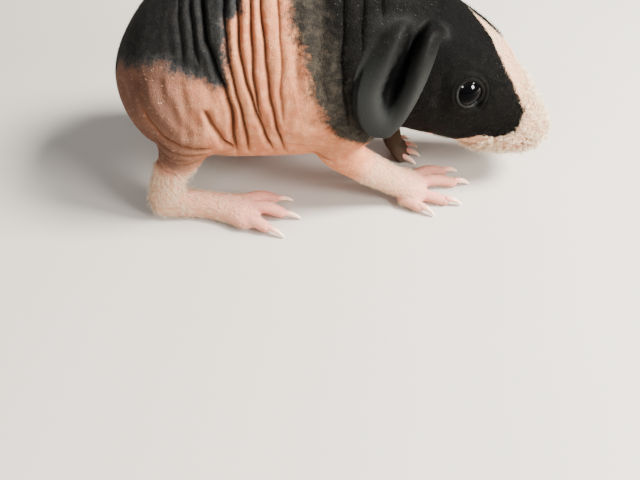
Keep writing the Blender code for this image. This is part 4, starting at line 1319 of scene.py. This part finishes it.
@dataclass(frozen=True)
class SkinFinish:
    """Bare skin: tan and pink, taupe and black, mottled at their edges, pored and finely lined."""

    tan: Colour = srgb(180, 117, 82)
    tan_warm: Colour = srgb(174, 106, 74)
    tan_pale: Colour = srgb(202, 144, 108)
    # browner rear of the thighs: partly their own tone, partly painted shade
    tan_rear: Colour = srgb(98, 70, 58)
    fold_shade: Colour = srgb(104, 63, 43)
    flake: Colour = srgb(222, 184, 152)
    taupe: Colour = srgb(60, 54, 46)
    taupe_deep: Colour = srgb(40, 37, 33)
    slate: Colour = srgb(54, 57, 60)
    black: Colour = srgb(7, 7, 6)
    black_soft: Colour = srgb(14, 13, 12)
    shade_black: Colour = srgb(4, 4, 4)
    speck: Colour = srgb(74, 73, 68)
    cream: Colour = srgb(196, 150, 118)
    pink: Colour = srgb(208, 140, 122)
    lip: Colour = srgb(204, 118, 108)
    white: Colour = srgb(210, 150, 122)
    toe: Colour = srgb(216, 146, 128)
    # grey of the lid rim: partly its own grey, partly painted highlight on the lower lid
    lid: Colour = srgb(44, 44, 43)
    mark: Colour = srgb(88, 98, 114)
    # the ears' grey, lighter over the lobe: partly their own grey, partly a painted highlight
    leather: Colour = srgb(41, 42, 41)
    brown: Colour = srgb(80, 66, 54)

    def material(self) -> Material:
        """Build the material from the stored distances and noise at several sizes."""
        paint = Paint("skin", {"Subsurface Weight": 0.05, "Subsurface Scale": 0.0008,
                               "Specular IOR Level": 0.03})
        place = paint.here()
        blot = paint.noise(place, 9.0, 4.0)
        mottle = paint.noise(place, 2.4, 4.0, 0.6)
        grain = paint.noise(place, 0.5, 3.0, 0.6)
        # crease: how much painted shade the folds put on each point
        crease = paint.attribute("crease")
        masks = Markers(paint).masks(place)
        dots = paint.band(paint.cells(place, 0.9), 0.24, 0.1) * paint.band(
            paint.noise(place, 2.6, 1.0), 0.5, 0.62)
        grey = self.grey(paint, mottle, grain, crease)
        # painted shade: the black is made deeper on top of the head, where the lamps light it most
        crown = paint.band(paint.axis(place, "X"), 0.020, 0.030)
        crown = crown * paint.band(paint.axis(place, "Z"), 0.046, 0.058)
        # painted shade: shade_black deepens the black in the creases and, by crown, on top of the
        # head
        dark = paint.over(
            self.black, (paint.band(mottle, 0.35, 0.7), self.black_soft), (dots * 0.4, self.speck),
            (crown * 0.75, self.shade_black), (paint.band(crease, 0.2, 1.0) * 0.8, self.shade_black),
        )
        rump = paint.over(grey, (0.5, self.slate), (dots * 0.4, self.speck))
        # brown of the left forearm and paw: partly its own skin, partly painted shade under the head
        brown = paint.band(paint.attribute("brown") + mottle * 6.0, 3.0, 9.0)
        toe = paint.band(paint.attribute("toe") + blot * 8.0, -4.0, 7.0)
        foot = paint.mix(toe, self.white, paint.mix(grain, self.toe, self.pink))
        muzzle = paint.over(
            self.cream, (paint.band(mottle, 0.4, 0.7) * 0.6, self.pink),
            (paint.attribute("lips") * 0.8, self.lip),
        )
        # partly painted highlight: the ears turn lighter grey from the root down over the lobe
        lobe = paint.band(paint.attribute("ear"), 0.85, 1.0)
        lobe = lobe * paint.band(paint.axis(place, "Z"), 0.066, 0.048)
        paint.feed("Base Color", paint.over(
            self.bare(paint, blot, mottle, dots, crease), (masks["taupe"], grey),
            (masks["black"], dark), (masks["rump"], rump), (masks["rump_edge"] * 0.6, dark),
            (brown, self.brown), (masks["white"], foot), (masks["cream"], muzzle),
            # lid: the rim's grey, partly painted highlight on the lower lid
            (paint.attribute("lid") * 0.8, self.lid), (paint.attribute("corner"), self.mark),
            (lobe * 0.9, self.leather),
            # painted shade in the ears' cups
            (paint.band(paint.attribute("cup_shade"), 0.12, 0.55), self.shade_black),
        ))
        rough = paint.band(grain, 0.2, 0.8, 0.62, 0.78) - paint.attribute("ear") * 0.2
        rough = rough - paint.attribute("lid") * 0.15
        paint.feed("Roughness", rough)
        paint.feed("Normal", self.relief(paint, place))
        return paint.material

    def bare(self, paint: Paint, blot: Signal, mottle: Signal, dots: Signal,
             crease: Signal) -> Signal:
        """Return the tan skin: blotched, paler between, browner at the rear with painted shade
        there, painted shade in the creases, and dotted with flakes.
        """
        behind = paint.axis(paint.here(), "X") + (blot - 0.5) * 0.012
        return paint.over(
            self.tan, (paint.band(blot, 0.35, 0.65), self.tan_warm),
            (paint.band(mottle, 0.42, 0.72) * 0.6, self.tan_pale),
            # painted shade toward the rear of the thighs, over their browner tone
            (paint.band(behind, -0.028, -0.054) * 0.95, self.tan_rear),
            (paint.band(crease, 0.0, 0.8) * 0.85, self.fold_shade), (dots * 0.55, self.flake),
        )

    def grey(self, paint: Paint, mottle: Signal, grain: Signal, crease: Signal) -> Signal:
        """Return the taupe skin, flecked dark, with painted shade in its creases."""
        return paint.over(
            self.taupe_deep, (paint.band(mottle, 0.4, 0.6), self.taupe),
            (paint.band(grain, 0.5, 0.75) * 0.5, self.taupe_deep), (crease * 0.8, self.black),
        )

    def relief(self, paint: Paint, place: Signal) -> Signal:
        """Layer the fine relief: lines that follow the folds, leather cells and pores."""
        smooth = 1.0 - paint.attribute("ear") * 0.8
        lines = paint.noise(paint.stretched(place, (1.0, 0.55, 0.5)), 1.0, 4.0, 0.62)
        normal = paint.bump(lines * smooth, 0.22)
        cells = paint.cells(place, 0.8, "DISTANCE_TO_EDGE")
        normal = paint.bump(paint.band(cells, 0.0, 0.16) * smooth, 0.07, 1.0, normal)
        pores = paint.noise(place, 0.28, 2.0)
        return paint.bump(pores, 0.06, 1.0, normal)


@dataclass(frozen=True)
class CoatFinish:
    """Hair that carries the skin's markings, each tuft a little lighter or darker than the next."""

    name: str = "coat"
    dim: float = 0.0
    cream: Colour = srgb(242, 217, 176)
    white: Colour = srgb(252, 234, 202)
    dark: Colour = srgb(11, 10, 9)
    grey: Colour = srgb(66, 61, 54)
    tan: Colour = srgb(190, 142, 112)
    tip: Colour = srgb(255, 247, 224)
    shade: Colour = srgb(176, 130, 102)

    def material(self) -> Material:
        """Build the material from the markings at each tuft's root and the place along it."""
        paint = Paint(self.name, {"Specular IOR Level": 0.1})
        masks = Markers(paint).masks(paint.here())
        along, tone = paint.attribute("along"), paint.attribute("tone")
        # painted shade: the shade colour darkens the pale hair toward its root and, by dim, all over
        # as an underlayer
        pale = paint.over(
            self.cream, (tone, self.white), (paint.band(tone, 0.45, 0.0) * 0.6, self.shade),
            (paint.band(along, 0.5, 0.0) * 0.4, self.shade),
            (paint.band(along, 0.2, 1.0) * tone, self.tip), (self.dim, self.shade),
        )
        dark = paint.mix(paint.band(tone, 0.82, 1.0) * 0.7, self.dark, self.grey)
        paint.feed("Base Color", paint.over(
            self.tan, (masks["taupe"], self.grey), (masks["black"], dark), (masks["rump"], dark),
            (masks["white"], pale), (masks["cream"], pale),
        ))
        paint.feed("Roughness", paint.band(along, 0.0, 1.0, 0.65, 0.55))
        return paint.material


@dataclass(frozen=True)
class ClawFinish:
    """Horn: pink quick at the root, pale and yellowish to the point, with fine long lines."""

    quick: Colour = srgb(236, 158, 140)
    horn: Colour = srgb(240, 194, 166)
    point: Colour = srgb(248, 224, 194)

    def material(self) -> Material:
        """Build the material from the place along the claw."""
        paint = Paint(
            "claw_horn",
            {"Subsurface Weight": 0.12, "Subsurface Scale": 0.0006, "Specular IOR Level": 0.45},
        )
        place = paint.here()
        along = paint.attribute("along")
        cloud = paint.noise(place, 1.2) * 0.2
        paint.feed("Base Color", paint.over(
            self.quick, (paint.band(along + cloud, 0.15, 0.5), self.horn),
            (paint.band(along, 0.55, 1.0), self.point),
        ))
        grain = paint.noise(paint.stretched(place, (0.25, 1.0, 1.0)), 0.35)
        paint.feed("Roughness", paint.band(grain, 0.2, 0.8, 0.28, 0.42))
        paint.feed("Normal", paint.bump(grain, 0.03))
        return paint.material


@dataclass(frozen=True)
class EyeFinish:
    """A wet, nearly black eye: pupil, dark brown iris, a bluish rim and its white in the corner."""

    pupil: Colour = srgb(3, 3, 4)
    iris: Colour = srgb(11, 9, 8)
    rim: Colour = srgb(16, 20, 27)
    white: Colour = srgb(118, 130, 150)

    def material(self) -> Material:
        """Build the material from the stored distance from the middle of the look."""
        paint = Paint("eye_wet", {"Roughness": 0.05, "Specular IOR Level": 0.02,
                                  "Coat Roughness": 0.03, "Coat IOR": 1.38})
        reach = paint.attribute("reach") + paint.noise(paint.here(), 0.5) * 0.08
        paint.feed("Base Color", paint.over(
            self.pupil, (paint.band(reach, 0.42, 0.56), self.iris),
            (paint.band(reach, 0.72, 0.95), self.rim),
            (paint.band(paint.attribute("corner"), 0.3, 0.8), self.white),
        ))
        paint.feed("Coat Weight", paint.band(paint.attribute("raised"), 0.22, 0.42))
        return paint.material


@dataclass(frozen=True)
class FloorFinish:
    """A plain pale studio floor."""

    pale: Colour = srgb(184, 177, 168)
    paler: Colour = srgb(190, 184, 175)

    def material(self) -> Material:
        """Build the material with a faint cloudiness."""
        paint = Paint("floor", {"Roughness": 0.8})
        cloud = paint.noise(paint.here(), 120.0)
        paint.feed("Base Color", paint.mix(cloud, self.pale, self.paler))
        return paint.material


def dress(obj: Object, material: Material) -> None:
    """Give a piece its material, and let it ride on the body."""
    obj.data.materials.clear()
    obj.data.materials.append(material)
    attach(obj, "root")


# Eyes and claws


@dataclass(frozen=True)
class Eyes:
    """Both eyeballs, each with a cornea that bulges a little."""

    head: Head = Head()
    bulge: float = 0.25
    rows: int = 40
    columns: int = 64

    def ball(self, side: Side) -> tuple[Shape, Array]:
        """Return the ball, radius times sine and cosine of the angle from the look.

        Returns:
            The closed surface, and each point's angle from the look as a share of a right angle.
        """
        centre, look, forward, upward = self.head.eye_axes(side)
        angle = np.linspace(0, math.pi, self.rows)
        turn = np.linspace(0, 2 * math.pi, self.columns, endpoint=False)
        radius = self.head.eye_radius + self.bulge * bell(angle, 0.6)
        side_way = (radius * np.sin(angle))[:, None, None]
        circle = np.cos(turn)[:, None] * forward + np.sin(turn)[:, None] * upward
        rings = centre + side_way * circle[None] + (radius * np.cos(angle))[:, None, None] * look
        reach = np.repeat(angle[1:-1] / (math.pi / 2), self.columns)
        return closed_loft(rings), np.concatenate([reach, [0.0, 2.0]])

    def build(self) -> list[Object]:
        """Make both eyes in place of their nodes."""
        finish = EyeFinish().material()
        made = []
        for side in Side:
            shape, reach = self.ball(side)
            obj = new_piece(f"eyeball_{side.word}", shape)
            store(obj.data, "reach", reach)
            forward, upward, out = self.head.eye_local(shape[0], side).T
            corner = bell(np.hypot(forward - 4.2, upward + 0.3), 0.7)
            store(obj.data, "corner", np.where(out > 0, corner, 0.0))
            raised = (shape[0] - self.head.eye_axes(side)[0])[:, 2] / self.head.eye_radius
            store(obj.data, "raised", raised)
            dress(obj, finish)
            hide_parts(f"eye_{side.word}")
            made.append(obj)
        LOG.info("eyes: %d pieces", len(made))
        return made


@dataclass(frozen=True)
class Claws:
    """All fourteen claws, in place of their nodes."""

    def build(self) -> list[Object]:
        """Make each claw as a fine sweep and store the place along it."""
        finish = ClawFinish().material()
        made = []
        for foot in FEET:
            for number, toe in enumerate(foot.toes, 1):
                shape = foot.claw_limb(toe).shape(foot.side)
                node = f"claw_{foot.limb}_{foot.side.word}_{number}"
                obj = new_piece(f"horn_{foot.limb}_{foot.side.word}_{number}", shape)
                knuckle, tip = np.array(toe[1:]) * (1, foot.side.value, 1)
                reach = np.linalg.norm((shape[0] - tip)[:, :2], axis=1)
                ahead = (shape[0] - tip) @ ((tip - knuckle) * (1, 1, 0))
                along = np.sign(ahead) * reach / foot.claw_length
                store(obj.data, "along", np.clip(along, -0.4, 1.0))
                dress(obj, finish)
                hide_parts(node)
                made.append(obj)
        LOG.info("claws: %d pieces", len(made))
        return made


# Coat


@dataclass(frozen=True)
class Unwrap:
    """A flat layout of the skin's own shape: trunk and head as one tube, each leg as another."""

    patch: float = 0.003

    def tube(self, points: Array, middle: Array, length: Pair) -> Array:
        """Return the turn round a lengthwise line and the place along it, both 0 to 1."""
        turn = np.arctan2(points[:, 1] - middle[:, 0], points[:, 2] - middle[:, 1])
        turn = turn / (2 * math.pi) + 0.5
        along = (points[:, 0] - length[0]) / (length[1] - length[0])
        return np.stack([turn, np.clip(along, 0, 1)], axis=1)

    def layout(self, points: Array, head: Head) -> Array:
        """Return each root's place on the layout, by the part of the body that it is on."""
        x, y, z = points.T
        line = np.interp(x, [-72, -30, 15, 40, 71], [44, 46, 48, 40, 20])
        body = self.tube(points, np.stack([np.zeros_like(x), line], axis=1), (-75.0, 75.0))
        placed = 0.01 + body * (0.56, 0.98)
        hind = (z < 24) & (x < HIND_FRONT)
        fore = (z < 24) & (x > 2) & (x < 44) & ((x < 30) | (z < 8))
        for number, (chosen, start, end, out) in enumerate(
            (
                (hind & (y < 0), -66.0, -14.0, -25.5), (hind & (y > 0), -66.0, -14.0, 25.5),
                (fore & (y < -1), 0.0, 44.0, -17.0), (fore & (y >= -1), 0.0, 44.0, 8.0),
            )
        ):
            middle = np.stack([np.full_like(x, out), np.full_like(x, 4.0)], axis=1)
            leg = self.tube(points, middle, (start, end))
            column, row = divmod(number, 2)
            corner = np.array([0.59 + 0.205 * column, 0.01 + 0.5 * row])
            placed = np.where(chosen[:, None], corner + leg * (0.19, 0.47), placed)
        return placed


@dataclass(frozen=True)
class Coat:
    """One piece of coat: tufts rooted on the skin.

    Attributes:
        name: The piece's name.
        count: How many tufts.
        seed: Start of the random draws.
        where: Share of roots wanted at each point, from the points and their fields.
        lay: The way the tufts lie at each root.
        length: Shortest and longest tuft.
        width: Half width at the root.
        lift: How steeply a tuft leaves the skin, 0 flat and 1 upright.
        curl: Radius of the curl, and its turns.
        rings: Sections along a tuft.
        scatter: How far each tuft strays from the lay.
        dim: How much of the pale hair is painted in shade, as an underlayer is.
        lid_clear: How far round the eye's middle the skin stays bare.
        arch: How far a tuft bows up, as a share of its length.
        sunk: How deep its root stands in the skin.
        taper: Share of the width lost on the way to the tip, and taper_power how late.
        spread: Least and most width, as shares of it.
        flat: Height of the curl and of the section, as shares of their widths.
    """

    name: str
    count: int
    seed: int
    where: Callable[[Array, Fields], Array]
    lay: Callable[[Array], Array]
    length: Pair
    width: float
    lift: Pair
    curl: Pair
    rings: int = 4
    scatter: float = 0.35
    dim: float = 0.0
    lid_clear: float = 7.5
    arch: float = 0.12
    sunk: float = 0.15
    taper: float = 0.92
    taper_power: float = 1.6
    spread: Pair = (0.75, 1.25)
    flat: Pair = (0.8, 0.7)

    def roots(self, skin: Object, head: Head, marks: Markings,
              draw: np.random.Generator) -> tuple[Array, Array]:
        """Draw roots on the skin's triangles by area and by the share wanted there.

        Returns:
            The roots in millimetres and the skin's normals there.
        """
        mesh = skin.data
        points, normals = read_points(mesh), read_normals(mesh)
        corners = read(mesh.polygons, "vertices", kind=np.int64)
        place = points[corners]
        middle = place.mean(axis=1)
        first, second, third = place[:, 0], place[:, 1], place[:, 2]
        area = np.linalg.norm(np.cross(second - first, third - first), axis=1)
        wanted = area * np.clip(self.where(middle, marks.fields(head, middle)), 0, 1)
        for name in ("ear", "lips", "lid"):
            bare = read(mesh.attributes[name].data, "value", 1, np.float32).ravel()
            wanted *= np.clip(1 - bare[corners].mean(axis=1), 0, 1)
        for side in Side:
            forward, upward, out = head.eye_local(middle, side).T
            wanted *= (np.hypot(forward, upward) > self.lid_clear) | (out < 0)
        chosen = draw.choice(len(corners), self.count, p=wanted / wanted.sum())
        share = draw.random((self.count, 2))
        over = share.sum(axis=1) > 1
        share[over] = 1 - share[over]
        weights = np.column_stack([1 - share.sum(axis=1), share])
        root = (place[chosen] * weights[..., None]).sum(axis=1)
        normal = (normals[corners[chosen]] * weights[..., None]).sum(axis=1)
        return root, unit(normal)

    def strands(self, root: Array, normal: Array, draw: np.random.Generator) -> Array:
        """Return the tufts' points by tuft, ring and side.

        A tuft's line is its root plus its length times the share along, in a direction between
        the lay and the normal, plus a curl across. Its half width falls with the share along.
        """
        count = len(root)
        lay = self.lay(root) + self.scatter * draw.normal(size=(count, 3))
        lay = unit(lay - normal * (lay * normal).sum(axis=1)[:, None])
        across = np.cross(normal, lay)
        length = draw.uniform(*self.length, count)[:, None]
        lift = draw.uniform(*self.lift, count)[:, None]
        phase = draw.uniform(0, 2 * math.pi, count)[:, None]
        share = np.linspace(0, 1, self.rings)[None, :]
        radius, turns = self.curl
        angle = 2 * math.pi * turns * share + phase
        bend = (np.cos(angle) - np.cos(phase)) * radius
        rise = (np.sin(angle) - np.sin(phase)) * radius * self.flat[0]
        ahead = length * share * np.sqrt(1 - lift**2)
        above = length * (lift * share + self.arch * share * (1 - share))
        above = above + np.abs(rise) - self.sunk * (1 - share)
        line = (
            root[:, None]
            + lay[:, None] * ahead[..., None]
            + across[:, None] * bend[..., None]
            + normal[:, None] * above[..., None]
        )
        half = self.width * (1 - share**self.taper_power * self.taper)
        half = half * draw.uniform(*self.spread, count)[:, None]
        turn = np.array([0.5, 2.5, 4.5]) * math.pi / 3
        wide = (np.cos(turn)[None, None, :] * half[..., None])[..., None]
        tall = (np.sin(turn)[None, None, :] * half[..., None] * self.flat[1])[..., None]
        return line[:, :, None] + (across[:, None, None] * wide + normal[:, None, None] * tall)

    def build(self, skin: Object, head: Head, marks: Markings) -> Object:
        """Make the piece with its markings at each root and its patches on the layout."""
        draw = np.random.default_rng(self.seed)
        root, normal = self.roots(skin, head, marks, draw)
        points = self.strands(root, normal, draw)
        points[..., 2] = np.maximum(points[..., 2], 0.05)
        count, rings, sides = points.shape[:3]
        each = rings * sides
        walls = grid_faces(rings, sides, True)
        caps = np.array([[2, 1, 0], [each - 3, each - 2, each - 1]])
        base = np.arange(count)[:, None, None] * each
        triangles = np.concatenate([walls[:, [0, 1, 2]], walls[:, [0, 2, 3]], caps])
        faces = (base + triangles[None]).reshape(-1, 3)
        obj = new_piece(self.name, (points.reshape(-1, 3), faces.tolist()), outwards=False)
        mesh = obj.data
        for name, values in marks.fields(head, root).items():
            store(mesh, name, np.repeat(values, each))
        along = np.repeat(np.linspace(0, 1, rings), sides)
        store(mesh, "along", np.tile(along, count))
        store(mesh, "tone", np.repeat(draw.random(count), each))
        unwrap = Unwrap()
        spread = np.stack([np.tile(np.linspace(-0.5, 0.5, sides), rings), along - 0.5], axis=1)
        flat = unwrap.layout(root, head)[:, None] + spread[None] * unwrap.patch
        layer = mesh.uv_layers.new(name="OFBake")
        layer.data.foreach_set("uv", flat.reshape(-1, 2)[faces.ravel()].astype(np.float32).ravel())
        dress(obj, CoatFinish(f"hair_{self.name}", self.dim).material())
        LOG.info("%s: %d tufts, %d triangles", self.name, count, len(faces))
        return obj


def lie_back(points: Array) -> Array:
    """Return the way hair lies on the trunk and head: backwards and a little down."""
    return np.tile(np.array([-1.0, 0.0, -0.35]), (len(points), 1))


def lie_to_toes(points: Array) -> Array:
    """Return the way hair lies on the feet: forwards, and down on the shanks."""
    steep = ease(points[:, 2], 5.0, 14.0)
    return np.stack([1 - 0.7 * steep, np.zeros_like(steep), -0.15 - 0.85 * steep], axis=1)


def lie_off_nose(points: Array) -> Array:
    """Return the way hair lies on the muzzle: away from the nose tip."""
    return unit(points - Head().place((46.0, 0.0, 2.0)))


def muzzle_share(points: Array, fields: Fields) -> Array:
    """Want curls on the front of the muzzle and the chin."""
    along = Head().local(points)[:, 0]
    return ease(fields["blaze"], -0.8, 0.4) * ease(along, 18.0, 25.0)


def blaze_share(points: Array, fields: Fields) -> Array:
    """Want flat hair on the blaze, thinning out where the curls begin."""
    along, _, up = Head().local(points).T
    below = 0.25 + 0.75 * ease(up, -9.0, -4.0)
    return ease(fields["blaze"], -0.8, 0.4) * (1 - 0.6 * ease(along, 24.0, 32.0)) * below


def cheek_share(points: Array, fields: Fields) -> Array:
    """Want sparse hair on the dark cheek and brow, denser beside the blaze's edge."""
    along = Head().local(points)[:, 0]
    edge = bell(fields["blaze"] + 1.5, 2.4)
    bare = ease(fields["blaze"], -1.0, -0.4)
    return ease(along, -14.0, 6.0) * (0.12 + edge) * (1 - bare) * (points[:, 0] > 30)


def foot_share(points: Array, fields: Fields) -> Array:
    """Want hair on the feet, thinning out over the toes and none on the soles."""
    worn = 1 - 0.85 * ease(fields["toe"], -4.0, 6.0)
    return ease(fields["foot"], -1.5, 2.5) * worn * ease(points[:, 2], 0.6, 1.8)


def heel_share(points: Array, fields: Fields) -> Array:
    """Want the long wool behind the heels and up the shanks."""
    x, _, z = points.T
    return ease(fields["foot"], -1.0, 2.0) * ease(-x, 46.0, 53.0) * ease(z, 1.5, 4.0)


def body_share(points: Array, fields: Fields) -> Array:
    """Want a thin fuzz on the trunk, most where taupe turns black, least on the tan."""
    share = 0.05 + 0.4 * ease(fields["yoke"], 0.0, 4.0) + 0.5 * bell(fields["yoke"] - 6.0, 6.0)
    share += 0.3 * ease(fields["rump"], 0.5, 4.0)
    share *= ease(np.linalg.norm(mirrored(points) - Ear().root, axis=1), 8.0, 20.0)
    return share * (fields["foot"] < -2) * (fields["blaze"] < -2) * (points[:, 2] > 16)


@dataclass(frozen=True)
class Coats:
    """Every piece of coat, smallest on the face and the feet."""

    pieces: tuple[Coat, ...] = (
        Coat("blaze_fur", 5600, 15, blaze_share, lie_off_nose, (1.1, 2.0), 0.085, (0.04, 0.18),
             (0.12, 0.3), rings=4, scatter=0.3),
        Coat("muzzle_wool", 3600, 10, muzzle_share, lie_off_nose, (1.0, 1.8), 0.08, (0.05, 0.25),
             (0.3, 0.9), rings=6, scatter=0.8, dim=0.6),
        Coat("muzzle_curls", 2500, 11, muzzle_share, lie_off_nose, (2.0, 3.4), 0.13, (0.2, 0.7),
             (0.62, 1.6), rings=11, scatter=1.0),
        Coat("cheek_hairs", 1800, 12, cheek_share, lie_off_nose, (0.8, 1.8), 0.05, (0.1, 0.35),
             (0.25, 0.6), rings=5, scatter=0.7),
        Coat("feet_fur", 13800, 13, foot_share, lie_to_toes, (1.4, 2.6), 0.075, (0.05, 0.22),
             (0.12, 0.3), rings=3, scatter=0.3, dim=0.3),
        Coat("heel_wool", 3200, 16, heel_share, lie_to_toes, (2.2, 3.8), 0.075, (0.12, 0.4),
             (0.3, 0.6), rings=5, scatter=0.5, dim=0.2),
        Coat("body_fuzz", 12000, 14, body_share, lie_back, (0.5, 1.2), 0.032, (0.3, 0.7),
             (0.08, 0.4), rings=3, scatter=0.6),
    )

    def build(self, skin: Skin, obj: Object) -> list[Object]:
        """Grow every piece on the finished skin."""
        return [piece.build(obj, skin.head, skin.markings) for piece in self.pieces]


# Studio


@dataclass(frozen=True)
class Studio:
    """Camera, soft light and floor.

    Attributes:
        eye_place: Where the camera stands, in metres.
        tilt: Turn of the camera about X from looking straight down.
        lens: Focal length in millimetres on a 36 mm wide sensor.
        lamps: Name, place, width, power and colour of each lamp.
        aim: What the lamps face.
        room: Colour of the even light, and room_light its strength.
        floor_half: Half width of the floor, and floor_drop its depth under the feet.
    """

    eye_place: Place = (-0.0065, -0.193, 0.167)
    tilt: float = math.radians(43.0)
    lens: float = 39.375
    lamps: tuple[tuple[str, Place, float, float, Colour], ...] = (
        ("key", (0.44, -0.05, 0.52), 0.22, 26.5, (1.0, 0.97, 0.92)),
        ("front", (0.365, -0.285, 0.300), 0.14, 4.4, (1.0, 0.98, 0.94)),
        ("catch", (-0.162, -0.364, 0.339), 0.08, 0.7, (1.0, 1.0, 1.0)),
        ("window", (-0.46, -0.18, 0.47), 0.20, 0.4, (0.96, 0.98, 1.0)),
        ("back", (-0.05, 0.55, 0.42), 0.50, 1.6, (0.97, 0.98, 1.0)),
    )

    aim: Place = (0.0, 0.0, 0.03)
    room: Colour = (0.93, 0.95, 1.0)
    room_light: float = 0.13
    floor_half: float = 3000.0
    floor_drop: float = 0.05

    def camera(self) -> None:
        """Stand the camera where the photograph was taken from."""
        data = bpy.data.cameras.new("camera")
        data.lens = self.lens
        data.sensor_width = 36.0
        data.clip_start = 0.01
        obj = link("camera", data)
        obj.location = self.eye_place
        obj.rotation_euler = (self.tilt, 0.0, 0.0)
        bpy.context.scene.camera = obj

    def light(self) -> None:
        """Hang square soft lamps that face the animal, and light the room evenly."""
        for name, place, size, power, colour in self.lamps:
            data = bpy.data.lights.new(name, "AREA")
            data.size = size
            data.energy = power
            data.color = colour
            obj = link(name, data)
            obj.location = place
            east, north, rise = np.array(self.aim) - np.array(place)
            lean = math.atan2(math.hypot(east, north), -rise)
            obj.rotation_euler = (lean, 0.0, math.atan2(north, east) - math.pi / 2)
        world = bpy.data.worlds.new("room")
        world.use_nodes = True
        background = world.node_tree.nodes["Background"]
        background.inputs["Color"].default_value = (*self.room, 1.0)
        background.inputs["Strength"].default_value = self.room_light
        bpy.context.scene.world = world

    def floor(self) -> None:
        """Lay the floor as a wide sheet just under the feet."""
        corners = np.array([[-1, -1, 0], [1, -1, 0], [1, 1, 0], [-1, 1, 0]], float)
        corners *= self.floor_half
        corners[:, 2] = -self.floor_drop
        obj = new_piece("floor", (corners, [(0, 1, 2, 3)]))
        obj.data.materials.append(FloorFinish().material())

    def build(self) -> None:
        """Set up camera, light and floor."""
        self.camera()
        self.light()
        self.floor()


def main() -> None:
    """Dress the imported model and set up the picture."""
    logging.basicConfig(level=logging.INFO, format="%(name)s %(message)s")
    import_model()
    Studio().build()
    skin = Skin()
    body = skin.build()
    Eyes(skin.head).build()
    Claws().build()
    Coats().build(skin, body)
    bpy.context.view_layer.update()


if __name__ == "__main__":
    main()
